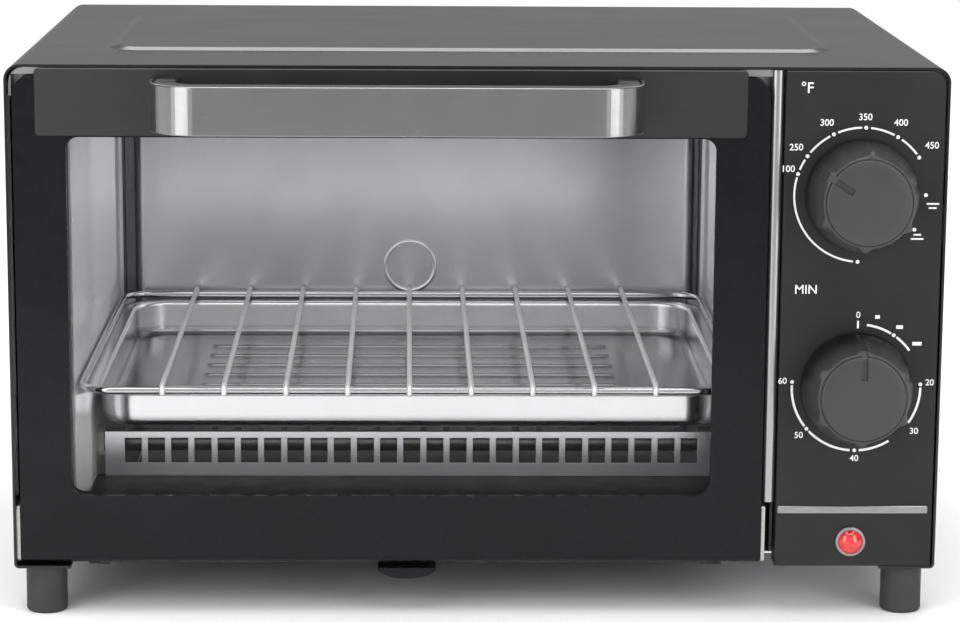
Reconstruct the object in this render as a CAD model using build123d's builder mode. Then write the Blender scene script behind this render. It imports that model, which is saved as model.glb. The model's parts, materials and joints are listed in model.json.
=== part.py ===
from build123d import *
from math import cos, radians, sin
import os

# Toaster oven. Millimetres. X to the right as seen from the front, +Y to the back, +Z up.
# The origin is on the table, under the centre of the whole object's box.
# Depths are counted from the front plane: the front edge of the outer wrap and the face of the door.

# ---- driving dimensions ----
BODY_W = 360.0                  # over the outer wrap
BODY_D = 240.0                  # front edge to rear edge of the wrap
BODY_BOTTOM = 19.0              # underside of the wrap, which is the height of the feet
BODY_TOP = 216.3                # top of the wrap, without its raised panel
SHEET = 1.0                     # wrap, frame and base sheet
THIN = 0.8                      # liner sheet

HANDLE_REACH = 32.0             # how far the handle stands in front of the front plane
SPACER_REACH = 8.0              # how far the rear spacers stand behind the wrap
FRONT_Y = -(BODY_D + SPACER_REACH - HANDLE_REACH) / 2

# ---- cavity ----
CAV_X0, CAV_X1 = -157.5, 108.0  # inner faces of the side liners
CAV_TOP = 200.0
CAV_BACK = 228.0
SILL_TOP = 45.0
LINER_FRONT = 20.2
BASE_TOP = BODY_BOTTOM + 2 * SHEET
GUIDE_Z = 83.3                  # top of the ledges that carry the pan and the rack
GUIDE_REACH = 6.0
LOW_STEP = 5.4                  # how far the side liners stand in below those ledges

LOW_X0, LOW_X1 = CAV_X0 + LOW_STEP, CAV_X1 - LOW_STEP

# ---- door ----
DOOR_X0, DOOR_X1 = -177.0, 111.3
DOOR_Z0, DOOR_Z1 = 21.2, 211.8
DOOR_T = 12.0
DOOR_SKIN = 2.5
DOOR_WALL = 2.2
WIN_X0, WIN_X1 = -157.0, 91.0
WIN_Z0, WIN_Z1 = 48.2, 188.6
WIN_R = 5.0
GLASS_T = 4.0
GLASS_LAP = 8.0
HINGE_DEPTH, HINGE_Z = 6.0, 31.0
PIN_R = 2.5
HINGE_CLEAR = 0.05

# ---- handle ----
HAND_X0, HAND_X1 = -124.0, 62.4
HAND_Z0, HAND_Z1 = 193.3, 211.6
HAND_R = 19.0
HAND_T = 9.0
COVER_T = 1.4
STRIP_T = 0.8                   # grey plate between handle and door

# ---- control side ----
PANEL_X0, PANEL_X1 = 117.0, 178.2
PANEL_Z0, PANEL_Z1 = 20.2, 215.0
PANEL_FACE = -0.5               # depth of the panel's face
PANEL_SKIN = 2.5
PANEL_DEEP = 11.0
KNOB_X = 147.0
TEMP_Z, TIMER_Z = 167.3, 91.8
LAMP_X, LAMP_Z = 146.5, 30.2
BRACKET_DEPTH = 14.0
SHAFT_R = 3.0
SHAFT_CLEAR = 0.05

# ---- knobs ----
KNOB_R = 21.9                   # foot of the skirt
KNOB_CAP_R = 17.4
KNOB_FRONT, KNOB_BACK = -22.5, -1.4

# ---- small parts ----
FOOT_R = 8.0
FOOT_X, FOOT_FRONT, FOOT_REAR = 168.5, 10.0, 228.0
SCREW_R = 1.6
HEATER_R = 4.0
HEATER_DEPTHS = (62.0, 172.0)
LOWER_HEATER_Z, UPPER_HEATER_Z = 55.5, 187.0

os.makedirs("parts", exist_ok=True)


def depth(d):
    """Row Y of a depth behind the front plane."""
    return FRONT_Y + d


def face_plane(d):
    """Sketch plane at depth d, seen from the front: local x is X, local y is Z, normal is -Y."""
    return Plane.XZ.offset(-depth(d))


def side_plane(x):
    """Sketch plane at X = x: local x is Y, local y is Z, normal is +X."""
    return Plane.YZ.offset(x)


def level(z):
    """Horizontal sketch plane at height z."""
    return Plane.XY.offset(z)


def span(x0, x1, z0, z1, r=0.0, mode=Mode.ADD):
    """Rectangle by its limits, with round corners if r is given, in the active sketch."""
    with Locations(((x0 + x1) / 2, (z0 + z1) / 2)):
        if r:
            RectangleRounded(x1 - x0, z1 - z0, r, mode=mode)
        else:
            Rectangle(x1 - x0, z1 - z0, mode=mode)


def spot(x, z, r, mode=Mode.ADD):
    """Disc in the active sketch."""
    with Locations((x, z)):
        Circle(r, mode=mode)


def save(part, name):
    part.label = name
    export_step(part, "parts/" + name + ".step")


# =====================================================================================
# Case
# =====================================================================================

WRAP_R = 6.0
WRAP_LOW_R = 2.0
FLANGE_W = 22.0
EMBOSS = (-146.0, 142.0, 50.0, 200.0)
EMBOSS_R = 14.0
EMBOSS_H = 1.0
EMBOSS_TAPER = 75.0
EMBOSS_HOLLOW = 3.0             # inset of the hollow under the raised panel
HALF = BODY_W / 2

# One bent sheet: roof, two sides and a flange turned in under each side.
with BuildPart() as outer_wrap:
    with BuildSketch(face_plane(0)) as wrap_section:
        span(-HALF, HALF, BODY_BOTTOM, BODY_TOP)
        fillet(wrap_section.vertices().group_by(Axis.Y)[-1], WRAP_R)
        fillet(wrap_section.vertices().group_by(Axis.Y)[0], WRAP_LOW_R)
        offset(amount=-SHEET, mode=Mode.SUBTRACT)
        with Locations((0, BODY_BOTTOM)):
            Rectangle(BODY_W - 2 * FLANGE_W, 4 * SHEET, mode=Mode.SUBTRACT)
    extrude(amount=-BODY_D)
    # raised panel of the roof, pressed up from the sheet
    with BuildSketch(level(BODY_TOP)):
        span(EMBOSS[0], EMBOSS[1], depth(EMBOSS[2]), depth(EMBOSS[3]), EMBOSS_R)
    extrude(amount=EMBOSS_H, taper=EMBOSS_TAPER)
    with BuildSketch(level(BODY_TOP - SHEET)):
        span(EMBOSS[0] + EMBOSS_HOLLOW, EMBOSS[1] - EMBOSS_HOLLOW, depth(EMBOSS[2]) + EMBOSS_HOLLOW,
             depth(EMBOSS[3]) - EMBOSS_HOLLOW, EMBOSS_R - EMBOSS_HOLLOW)
    extrude(amount=EMBOSS_H, mode=Mode.SUBTRACT)
    # holes for the foot screws
    with BuildSketch(level(BODY_BOTTOM)):
        with Locations(*[(sx * FOOT_X, depth(d)) for sx in (-1, 1) for d in (FOOT_FRONT, FOOT_REAR)]):
            Circle(SCREW_R)
    extrude(amount=SHEET, mode=Mode.SUBTRACT)
    # louvre slots in the right side, beside the controls
    with BuildSketch(side_plane(HALF - SHEET)):
        with Locations((depth(150), 130)):
            with GridLocations(9, 1, 8, 1):
                SlotOverall(46, 3.6, rotation=90)
    extrude(amount=SHEET, mode=Mode.SUBTRACT)
save(outer_wrap.part, "outer_wrap")

# Bright face plate behind the door, with a collar round the cavity's mouth, a rim that comes forward
# above the door and round its top left corner, and a round-nosed post to the right of it.
FRAME_DEPTH = 13.0
FRAME_X1 = 116.9
FRAME_TOP = 214.9
POST = (111.7, 116.8, 1.0)
POST_R = 2.4
RIM_DEPTH = 3.0                 # front of the rim that shows round the door
RIM_INSIDE = (-177.6, 212.3)    # right face of its left leg, underside of its top leg
RIM_LEG = 204.0                 # foot of its left leg
with BuildPart() as front_frame:
    with BuildSketch(face_plane(FRAME_DEPTH)) as frame_face:
        span(-178.6, FRAME_X1, SILL_TOP + 0.2, FRAME_TOP)
        fillet(frame_face.vertices().group_by(Axis.Y)[-1].sort_by(Axis.X)[0], WRAP_R)
        with Locations(((CAV_X0 + CAV_X1) / 2, SILL_TOP + 0.2)):
            Rectangle(CAV_X1 - CAV_X0, 2 * (CAV_TOP - SILL_TOP - 0.2), mode=Mode.SUBTRACT)
    extrude(amount=-SHEET)
    with BuildSketch(face_plane(FRAME_DEPTH + SHEET)):
        span(CAV_X0 - THIN, CAV_X1 + THIN, SILL_TOP + 0.2, CAV_TOP + THIN)
        with Locations(((CAV_X0 + CAV_X1) / 2, SILL_TOP + 0.2)):
            Rectangle(CAV_X1 - CAV_X0, 2 * (CAV_TOP - SILL_TOP - 0.2), mode=Mode.SUBTRACT)
    extrude(amount=-(LINER_FRONT - FRAME_DEPTH - SHEET - 0.2))
    with BuildSketch(face_plane(RIM_DEPTH)) as rim_outline:
        span(-178.6, FRAME_X1, RIM_LEG, FRAME_TOP)
        fillet(rim_outline.vertices().group_by(Axis.Y)[-1].sort_by(Axis.X)[0], WRAP_R)
        span(RIM_INSIDE[0], FRAME_X1 + 1, SILL_TOP, RIM_INSIDE[1], mode=Mode.SUBTRACT)
    extrude(amount=-(FRAME_DEPTH - RIM_DEPTH))
    with BuildSketch(level(SILL_TOP + 0.6)) as post_plan:
        span(POST[0], POST[1], depth(POST[2]), depth(FRAME_DEPTH))
        fillet(post_plan.vertices().group_by(Axis.Y)[0], POST_R)
    extrude(amount=FRAME_TOP - SILL_TOP - 0.6)
save(front_frame.part, "front_frame")

# Black sill under the cavity's mouth: a shelf in front of the heater guard and a wall under it.
GUARD_DEPTH = 45.0
with BuildPart() as front_sill:
    with BuildSketch(side_plane(CAV_X0 + 0.2)):
        span(depth(FRAME_DEPTH), depth(LINER_FRONT - 0.2), SILL_TOP - SHEET, SILL_TOP)
        span(depth(19), depth(19 + SHEET), BASE_TOP, SILL_TOP)
    extrude(amount=CAV_X1 - CAV_X0 - 0.4)
    with BuildSketch(level(SILL_TOP - SHEET)):
        span(LOW_X0 + 0.2, LOW_X1 - 0.2, depth(19), depth(GUARD_DEPTH + 3))
    extrude(amount=SHEET)
    with BuildSketch(face_plane(19)):
        span(-178.6, FRAME_X1, BASE_TOP, SILL_TOP - SHEET)
    extrude(amount=-SHEET)
save(front_sill.part, "front_sill")

# Base plate, open over the crumb tray.
CRUMB_OPEN = (-146.0, 93.0, 34.0, 218.0)
with BuildPart() as base_plate:
    with BuildSketch(level(BODY_BOTTOM + SHEET)):
        span(-177.8, 177.8, depth(19), depth(237.8))
        with Locations(((CRUMB_OPEN[0] + CRUMB_OPEN[1]) / 2, depth((CRUMB_OPEN[2] + CRUMB_OPEN[3]) / 2))):
            RectangleRounded(CRUMB_OPEN[1] - CRUMB_OPEN[0], CRUMB_OPEN[3] - CRUMB_OPEN[2], 6,
                             mode=Mode.SUBTRACT)
        with Locations(*[(sx * FOOT_X, depth(FOOT_REAR)) for sx in (-1, 1)]):
            Circle(SCREW_R, mode=Mode.SUBTRACT)
    extrude(amount=SHEET)
save(base_plate.part, "base_plate")

# Rear panel with vents and the gland's hole.
REAR_DEPTH = 238.0
GLAND = (140.0, 46.0, 8.0)
REAR_SCREWS = [(-172, 30), (172, 70), (-172, 205), (172, 205), (0, 28)]
SPACERS = [(-150, 60), (110, 60)]
with BuildPart() as rear_panel:
    with BuildSketch(face_plane(REAR_DEPTH)):
        span(-178.8, 178.8, BASE_TOP, 215.1, 5.6)
        with Locations((142, 150)):
            with GridLocations(8, 34, 6, 3):
                SlotOverall(24, 3.6, rotation=90, mode=Mode.SUBTRACT)
        with Locations((-27.5, 208)):
            with GridLocations(20, 1, 10, 1):
                SlotOverall(14, 3.2, mode=Mode.SUBTRACT)
        spot(GLAND[0], GLAND[1], GLAND[2], Mode.SUBTRACT)
        for sx, sz in REAR_SCREWS:
            spot(sx, sz, SCREW_R, Mode.SUBTRACT)
    extrude(amount=-SHEET)
save(rear_panel.part, "rear_panel")

# Two spacers that keep the back off a wall.
with BuildPart() as rear_spacers:
    with BuildSketch(face_plane(REAR_DEPTH + SHEET)):
        with Locations(*SPACERS):
            Circle(9)
    extrude(amount=-(BODY_D + SPACER_REACH - REAR_DEPTH - SHEET), taper=6)
save(rear_spacers.part, "rear_spacers")

# Gland: a barrel through the panel's hole with a collar behind it, and the cord's bore through both.
GLAND_BORE_R = 3.6
GLAND_INSIDE, GLAND_OUTSIDE = 6.0, 5.0
with BuildPart() as cord_gland:
    with BuildSketch(face_plane(REAR_DEPTH - GLAND_INSIDE)):
        spot(GLAND[0], GLAND[1], GLAND[2])
    extrude(amount=-(GLAND_INSIDE + GLAND_OUTSIDE))
    with BuildSketch(face_plane(REAR_DEPTH + SHEET)):
        spot(GLAND[0], GLAND[1], GLAND[2] + 2.5)
    extrude(amount=-(GLAND_OUTSIDE - SHEET), taper=8)
    with BuildSketch(face_plane(REAR_DEPTH - GLAND_INSIDE)):
        spot(GLAND[0], GLAND[1], GLAND_BORE_R)
    extrude(amount=-(GLAND_INSIDE + GLAND_OUTSIDE), mode=Mode.SUBTRACT)
save(cord_gland.part, "cord_gland")

with BuildPart() as terminal_block:
    with BuildSketch(level(BASE_TOP)):
        span(124, 156, depth(196), depth(214), 1.5)
    extrude(amount=14)
    with BuildSketch(level(BASE_TOP + 14)):
        with Locations((140, depth(205))):
            with GridLocations(10, 9, 3, 2):
                Circle(2.2)
    extrude(amount=-6, mode=Mode.SUBTRACT)
save(terminal_block.part, "terminal_block")

# =====================================================================================
# Cavity liners
# =====================================================================================

HOLE_CLEAR = 0.2
INSULATOR_R = 6.0


def side_liner(x_face, outward, name):
    """Side liner with a ledge for the pan and rack, and holes for the heater insulators."""
    xm = x_face + outward * THIN / 2
    x_low = xm - outward * LOW_STEP
    with BuildPart() as liner:
        with BuildSketch(face_plane(LINER_FRONT)):
            with BuildLine():
                Polyline((x_low, BASE_TOP), (x_low, GUIDE_Z - 6), (xm - outward * GUIDE_REACH, GUIDE_Z - THIN),
                         (xm, GUIDE_Z - THIN + 0.4), (xm, CAV_TOP + THIN))
            trace(line_width=THIN)
        extrude(amount=-(CAV_BACK - LINER_FRONT))
        with BuildSketch(side_plane(x_face)):
            with Locations(*[(depth(d), z) for d in HEATER_DEPTHS for z in (LOWER_HEATER_Z, UPPER_HEATER_Z)]):
                Circle(INSULATOR_R)
        extrude(amount=2 * LOW_STEP, both=True, mode=Mode.SUBTRACT)
    save(liner.part, name)


side_liner(CAV_X0, -1, "left_liner")
side_liner(CAV_X1, 1, "right_liner")

CHANNEL = 7.0                   # depth of the gutters beside the back liner's flat panel
with BuildPart() as roof_liner:
    with BuildSketch(level(CAV_TOP)):
        span(CAV_X0 + 0.1, CAV_X1 - 0.1, depth(LINER_FRONT), depth(CAV_BACK + CHANNEL + 1))
    extrude(amount=THIN)
save(roof_liner.part, "roof_liner")

# Back liner: a flat panel that stands forward between two upright gutters, with a round emboss.
BACK_FLAT = (-148.3, 101.0)
GUTTER_SLOPE = 2.5
EMBLEM = (-25.8, 98.3, 11.3)
with BuildPart() as back_liner:
    with BuildSketch(level(BASE_TOP)):
        face, floor = depth(CAV_BACK + THIN / 2), depth(CAV_BACK + CHANNEL)
        with BuildLine():
            Polyline((CAV_X0 + 0.6, depth(CAV_BACK - 2)), (CAV_X0 + 0.6, floor),
                     (BACK_FLAT[0] - GUTTER_SLOPE, floor), (BACK_FLAT[0], face),
                     (BACK_FLAT[1], face), (BACK_FLAT[1] + GUTTER_SLOPE, floor),
                     (CAV_X1 - 0.6, floor), (CAV_X1 - 0.6, depth(CAV_BACK - 2)))
        trace(line_width=THIN)
    extrude(amount=CAV_TOP - BASE_TOP - 0.1)
    # notches that let the side liners' ledges and lower walls run past its front flanges
    for x_low, x_high in ((CAV_X0, LOW_X0 + 1), (LOW_X1 - 1, CAV_X1)):
        with BuildSketch(level(BASE_TOP)):
            span(x_low - 0.5, x_high + 0.5, depth(CAV_BACK - 3), depth(CAV_BACK + 0.1))
        extrude(amount=GUIDE_Z + 1 - BASE_TOP, mode=Mode.SUBTRACT)
    with BuildSketch(face_plane(CAV_BACK)):
        spot(EMBLEM[0], EMBLEM[1], EMBLEM[2] + 0.8)
        spot(EMBLEM[0], EMBLEM[1], EMBLEM[2] - 0.8, Mode.SUBTRACT)
    extrude(amount=1.2)
save(back_liner.part, "back_liner")

# Slotted strip in front of the lower heaters, bent back along its top.
GUARD_TOP = 63.4
SLOT_PITCH, SLOT_W, SLOT_COUNT = 9.33, 6.8, 25
SLOT_Z0, SLOT_Z1 = 50.4, 60.7
GUARD_XC = -25.1
GUARD_GAP = 3.8                 # between the strip's ends and the side liners
with BuildPart() as heater_guard:
    with BuildSketch(face_plane(GUARD_DEPTH)):
        span(LOW_X0 + GUARD_GAP, LOW_X1 - GUARD_GAP, SILL_TOP, GUARD_TOP)
        with Locations((GUARD_XC, (SLOT_Z0 + SLOT_Z1) / 2)):
            with GridLocations(SLOT_PITCH, 1, SLOT_COUNT, 1):
                Rectangle(SLOT_W, SLOT_Z1 - SLOT_Z0, mode=Mode.SUBTRACT)
    extrude(amount=-THIN)
    with BuildSketch(level(GUARD_TOP - THIN)):
        span(LOW_X0 + GUARD_GAP, LOW_X1 - GUARD_GAP, depth(GUARD_DEPTH), depth(GUARD_DEPTH + 8))
        with Locations((GUARD_XC, depth(GUARD_DEPTH + 8))):
            with GridLocations(SLOT_PITCH, 1, SLOT_COUNT, 1):
                Rectangle(SLOT_W, 12, mode=Mode.SUBTRACT)
    extrude(amount=THIN)
save(heater_guard.part, "heater_guard")

# =====================================================================================
# Heaters
# =====================================================================================

INS_OUT = 9.0
INS_REACH = 2.0                 # barrel inside the liner
INS_BEHIND = 8.0                # barrel outside the upper part of the liner
HEATER_ENDS = (CAV_X0 - INS_BEHIND + 1, CAV_X1 + INS_BEHIND - 1)


def heater_pair(z, name):
    with BuildPart() as pair:
        with BuildSketch(side_plane(HEATER_ENDS[0])):
            with Locations(*[(depth(d), z) for d in HEATER_DEPTHS]):
                Circle(HEATER_R)
        extrude(amount=HEATER_ENDS[1] - HEATER_ENDS[0])
    save(pair.part, name)


heater_pair(LOWER_HEATER_Z, "lower_heaters")
heater_pair(UPPER_HEATER_Z, "upper_heaters")

# Eight ceramic bushes: a barrel through the liner's hole and a flange outside it.
with BuildPart() as heater_insulators:
    for z, (wall_x0, wall_x1) in ((LOWER_HEATER_Z, (LOW_X0, LOW_X1)), (UPPER_HEATER_Z, (CAV_X0, CAV_X1))):
        spots = [(depth(d), z) for d in HEATER_DEPTHS]
        for x_low, x_high, flange_x in ((CAV_X0 - INS_BEHIND, wall_x0 + INS_REACH, wall_x0 - THIN - 3),
                                        (wall_x1 - INS_REACH, CAV_X1 + INS_BEHIND, wall_x1 + THIN)):
            with BuildSketch(side_plane(x_low)):
                with Locations(*spots):
                    Circle(INSULATOR_R)
            extrude(amount=x_high - x_low)
            with BuildSketch(side_plane(flange_x)):
                with Locations(*spots):
                    Circle(INS_OUT)
            extrude(amount=3)
        with BuildSketch(side_plane(HEATER_ENDS[0])):
            with Locations(*spots):
                Circle(HEATER_R)
        extrude(amount=HEATER_ENDS[1] - HEATER_ENDS[0], mode=Mode.SUBTRACT)
save(heater_insulators.part, "heater_insulators")

# =====================================================================================
# Door
# =====================================================================================

DOOR_R = 7.0
DOOR_EDGE_R = 3.0
PIN_BOSS = 7.0
RETAINER_DEPTH = 10.8

# Black frame: skin, side walls and two bosses for the hinge pins.
with BuildPart() as door_frame:
    with BuildSketch(side_plane(DOOR_X0)) as door_side:
        span(depth(0), depth(DOOR_T), DOOR_Z0, DOOR_Z1)
        fillet(door_side.vertices().group_by(Axis.Y)[0], DOOR_EDGE_R)
    extrude(amount=DOOR_X1 - DOOR_X0)
    with BuildSketch(face_plane(0)) as door_outline:
        span(DOOR_X0, DOOR_X1, DOOR_Z0, DOOR_Z1)
        fillet(door_outline.vertices().group_by(Axis.Y)[-1], DOOR_R)
    extrude(amount=-DOOR_T, mode=Mode.INTERSECT)
    with BuildSketch(face_plane(DOOR_SKIN)):
        span(DOOR_X0 + DOOR_WALL, DOOR_X1 - DOOR_WALL, DOOR_Z0 + DOOR_WALL, DOOR_Z1 - DOOR_WALL, 3.0)
    extrude(amount=-DOOR_T, mode=Mode.SUBTRACT)
    for x_low in (DOOR_X0, DOOR_X1 - PIN_BOSS):
        with BuildSketch(side_plane(x_low)):
            span(depth(1), depth(RETAINER_DEPTH), HINGE_Z - 5, HINGE_Z + 5)
        extrude(amount=PIN_BOSS)
    with BuildSketch(face_plane(0)):
        span(WIN_X0, WIN_X1, WIN_Z0, WIN_Z1, WIN_R)
    extrude(amount=-DOOR_T, mode=Mode.SUBTRACT)
    with BuildSketch(side_plane(DOOR_X0)):
        spot(depth(HINGE_DEPTH), HINGE_Z, PIN_R)
    extrude(amount=PIN_BOSS, mode=Mode.SUBTRACT)
    with BuildSketch(side_plane(DOOR_X1 - PIN_BOSS)):
        spot(depth(HINGE_DEPTH), HINGE_Z, PIN_R)
    extrude(amount=PIN_BOSS, mode=Mode.SUBTRACT)
save(door_frame.part, "door_frame")

with BuildPart() as door_glass:
    with BuildSketch(face_plane(DOOR_SKIN)):
        span(WIN_X0 - GLASS_LAP, WIN_X1 + GLASS_LAP, WIN_Z0 - GLASS_LAP, WIN_Z1 + GLASS_LAP, 3.0)
    extrude(amount=-GLASS_T)
    chamfer(door_glass.edges().filter_by(Plane.XZ), 0.4)
save(door_glass.part, "door_glass")

# Sheet retainer that closes the door's back and presses on the glass.
DOOR_SCREWS = [(DOOR_X0 + 8, 60), (DOOR_X0 + 8, 180), (DOOR_X1 - 8, 60), (DOOR_X1 - 8, 180)]
with BuildPart() as door_retainer:
    with BuildSketch(face_plane(RETAINER_DEPTH)):
        span(DOOR_X0 + DOOR_WALL + 0.2, DOOR_X1 - DOOR_WALL - 0.2,
             DOOR_Z0 + DOOR_WALL + 0.2, DOOR_Z1 - DOOR_WALL - 0.2, 2.6)
        span_z = (WIN_Z0 + WIN_Z1) / 2
        with Locations(((WIN_X0 + WIN_X1) / 2, span_z)):
            RectangleRounded(WIN_X1 - WIN_X0 + 2, WIN_Z1 - WIN_Z0 + 2, WIN_R, mode=Mode.SUBTRACT)
        for sx, sz in DOOR_SCREWS:
            spot(sx, sz, SCREW_R, Mode.SUBTRACT)
    extrude(amount=-SHEET)
    with BuildSketch(face_plane(DOOR_SKIN + GLASS_T)):
        with Locations(((WIN_X0 + WIN_X1) / 2, span_z)):
            RectangleRounded(WIN_X1 - WIN_X0 + 4, WIN_Z1 - WIN_Z0 + 4, WIN_R + 1)
            RectangleRounded(WIN_X1 - WIN_X0 + 2, WIN_Z1 - WIN_Z0 + 2, WIN_R, mode=Mode.SUBTRACT)
    extrude(amount=-(RETAINER_DEPTH - DOOR_SKIN - GLASS_T))
save(door_retainer.part, "door_retainer")

with BuildPart() as door_screws:
    with BuildSketch(face_plane(RETAINER_DEPTH + SHEET)):
        with Locations(*DOOR_SCREWS):
            Circle(SCREW_R)
    extrude(amount=SHEET + 4)
    with BuildSketch(face_plane(RETAINER_DEPTH + SHEET)):
        with Locations(*DOOR_SCREWS):
            Circle(2.6)
    extrude(amount=-0.6, taper=20)
save(door_screws.part, "door_screws")

# Grey plate across the top of the door, behind the handle.
PLATE = (-168.5, 102.6, 189.0, 214.9)
HANDLE_SCREWS = [(HAND_X0 + 5, 202.4), (HAND_X1 - 5, 202.4)]
with BuildPart() as door_plate:
    with BuildSketch(face_plane(-STRIP_T)):
        span(PLATE[0], PLATE[1], PLATE[2], PLATE[3], 2.0)
    extrude(amount=-STRIP_T)
    chamfer(door_plate.faces().sort_by(Axis.Y)[0].edges(), 0.3)
save(door_plate.part, "door_plate")

HAND_OUT = -HANDLE_REACH
BAR_RADII = (HAND_R - COVER_T, HAND_R - COVER_T - HAND_T)


def bar_outline(inset, deep):
    """Bar seen from above: a rectangle from the handle's front (depth deep) to the door's plate."""
    x0, x1 = HAND_X0 + inset, HAND_X1 - inset
    with Locations(((x0 + x1) / 2, depth((deep - STRIP_T) / 2))):
        Rectangle(x1 - x0, -STRIP_T - deep)


# Black core of the handle, bent back to the door at both ends.
with BuildPart() as handle_core:
    with BuildSketch(level(HAND_Z0)) as core_outline:
        bar_outline(COVER_T, HAND_OUT + COVER_T)
        fillet(core_outline.vertices().group_by(Axis.Y)[0], BAR_RADII[0])
    extrude(amount=HAND_Z1 - HAND_Z0)
    with BuildSketch(level(HAND_Z0)) as core_gap:
        bar_outline(COVER_T + HAND_T, HAND_OUT + COVER_T + HAND_T)
        fillet(core_gap.vertices().group_by(Axis.Y)[0], BAR_RADII[1])
    extrude(amount=HAND_Z1 - HAND_Z0, mode=Mode.SUBTRACT)
save(handle_core.part, "handle_core")

# Silver cover round the handle's front.
COVER_Z = (HAND_Z0 - 0.1, HAND_Z1 + 0.1)
with BuildPart() as handle_cover:
    with BuildSketch(level(COVER_Z[0])) as cover_outline:
        bar_outline(0, HAND_OUT)
        fillet(cover_outline.vertices().group_by(Axis.Y)[0], HAND_R)
    extrude(amount=COVER_Z[1] - COVER_Z[0])
    with BuildSketch(level(COVER_Z[0])) as cover_gap:
        bar_outline(COVER_T, HAND_OUT + COVER_T)
        fillet(cover_gap.vertices().group_by(Axis.Y)[0], BAR_RADII[0])
    extrude(amount=COVER_Z[1] - COVER_Z[0], mode=Mode.SUBTRACT)
save(handle_cover.part, "handle_cover")

# Two screws from inside the door into the handle's ends.
with BuildPart() as handle_screws:
    with BuildSketch(face_plane(DOOR_SKIN)):
        with Locations(*HANDLE_SCREWS):
            Circle(3.4)
    extrude(amount=-2.2)
save(handle_screws.part, "handle_screws")

BRACKET_X = ((-178.9, -177.5), (111.7, 113.1))
with BuildPart() as hinge_pins:
    for x_low, x_high in ((BRACKET_X[0][0] + 0.1, DOOR_X0 + PIN_BOSS), (DOOR_X1 - PIN_BOSS, BRACKET_X[1][1])):
        with BuildSketch(side_plane(x_low)):
            spot(depth(HINGE_DEPTH), HINGE_Z, PIN_R)
        extrude(amount=x_high - x_low)
save(hinge_pins.part, "hinge_pins")

with BuildPart() as hinge_brackets:
    for x_low, x_high in BRACKET_X:
        with BuildSketch(side_plane(x_low)):
            span(depth(1.5), depth(18.9), BASE_TOP + 0.2, SILL_TOP - SHEET - 0.2, 1.5)
            spot(depth(HINGE_DEPTH), HINGE_Z, PIN_R + HINGE_CLEAR, Mode.SUBTRACT)
        extrude(amount=x_high - x_low)
    with BuildSketch(face_plane(17.9)):
        span(BRACKET_X[0][0], BRACKET_X[0][0] + 14, BASE_TOP + 2, SILL_TOP - SHEET - 2)
        span(BRACKET_X[1][0] - 14, BRACKET_X[1][1], BASE_TOP + 2, SILL_TOP - SHEET - 2)
    extrude(amount=-SHEET)
save(hinge_brackets.part, "hinge_brackets")

# =====================================================================================
# Controls
# =====================================================================================

SHAFT_HOLE_R = 5.5
BEZEL_R, BEZEL_BARREL_R, LENS_R = 6.1, 5.5, 4.75
PANEL_R = 6.0
PANEL_WALL = 2.0
BOSS_SPOTS = [(x, z) for x in (123.5, 172.0) for z in (60.0, 204.0)]
BOSS_R = 3.6

# Moulded panel: face, walls behind its edge and four screw bosses.
with BuildPart() as control_panel:
    with BuildSketch(face_plane(PANEL_FACE)) as panel_outline:
        span(PANEL_X0, PANEL_X1, PANEL_Z0, PANEL_Z1)
        fillet(panel_outline.vertices().group_by(Axis.Y)[-1].sort_by(Axis.X)[-1], PANEL_R)
    extrude(amount=-(PANEL_DEEP - PANEL_FACE))
    chamfer(control_panel.faces().sort_by(Axis.Y)[0].edges(), 0.4)
    with BuildSketch(face_plane(PANEL_FACE + PANEL_SKIN)):
        span(PANEL_X0 + PANEL_WALL, PANEL_X1 - PANEL_WALL, PANEL_Z0 + PANEL_WALL, PANEL_Z1 - PANEL_WALL, 3.0)
    extrude(amount=-PANEL_DEEP, mode=Mode.SUBTRACT)
    with BuildSketch(face_plane(PANEL_FACE + 1)):
        with Locations(*BOSS_SPOTS):
            Circle(BOSS_R)
    extrude(amount=-(BRACKET_DEPTH - PANEL_FACE - 1))
    with BuildSketch(face_plane(BRACKET_DEPTH)):
        with Locations(*BOSS_SPOTS):
            Circle(SCREW_R)
    extrude(amount=9, mode=Mode.SUBTRACT)
    with BuildSketch(face_plane(PANEL_FACE)):
        spot(KNOB_X, TEMP_Z, SHAFT_HOLE_R)
        spot(KNOB_X, TIMER_Z, SHAFT_HOLE_R)
        spot(LAMP_X, LAMP_Z, BEZEL_BARREL_R)
    extrude(amount=-PANEL_DEEP, mode=Mode.SUBTRACT)
save(control_panel.part, "control_panel")

TRIM = (117.6, 176.3, 41.5, 44.5)
TRIM_T = 0.6
with BuildPart() as panel_trim_strip:
    with BuildSketch(face_plane(PANEL_FACE - TRIM_T)):
        span(TRIM[0], TRIM[1], TRIM[2], TRIM[3], 0.6)
    extrude(amount=-TRIM_T)
    chamfer(panel_trim_strip.faces().sort_by(Axis.Y)[0].edges(), 0.2)
save(panel_trim_strip.part, "panel_trim_strip")

LAMP_R = 3.0
with BuildPart() as indicator_bezel:
    with BuildSketch(Plane.YZ.offset(LAMP_X)) as bezel_profile:
        with BuildLine():
            Polyline((depth(PANEL_FACE), LAMP_Z + LENS_R), (depth(PANEL_FACE - 1.2), LAMP_Z + LENS_R),
                     (depth(PANEL_FACE - 1.2), LAMP_Z + BEZEL_R - 0.5), (depth(PANEL_FACE - 0.6), LAMP_Z + BEZEL_R),
                     (depth(PANEL_FACE), LAMP_Z + BEZEL_R), (depth(PANEL_FACE), LAMP_Z + BEZEL_BARREL_R),
                     (depth(8), LAMP_Z + BEZEL_BARREL_R), (depth(8), LAMP_Z + LENS_R), close=True)
        make_face()
    revolve(axis=Axis((LAMP_X, 0, LAMP_Z), (0, 1, 0)))
save(indicator_bezel.part, "indicator_bezel")

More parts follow.
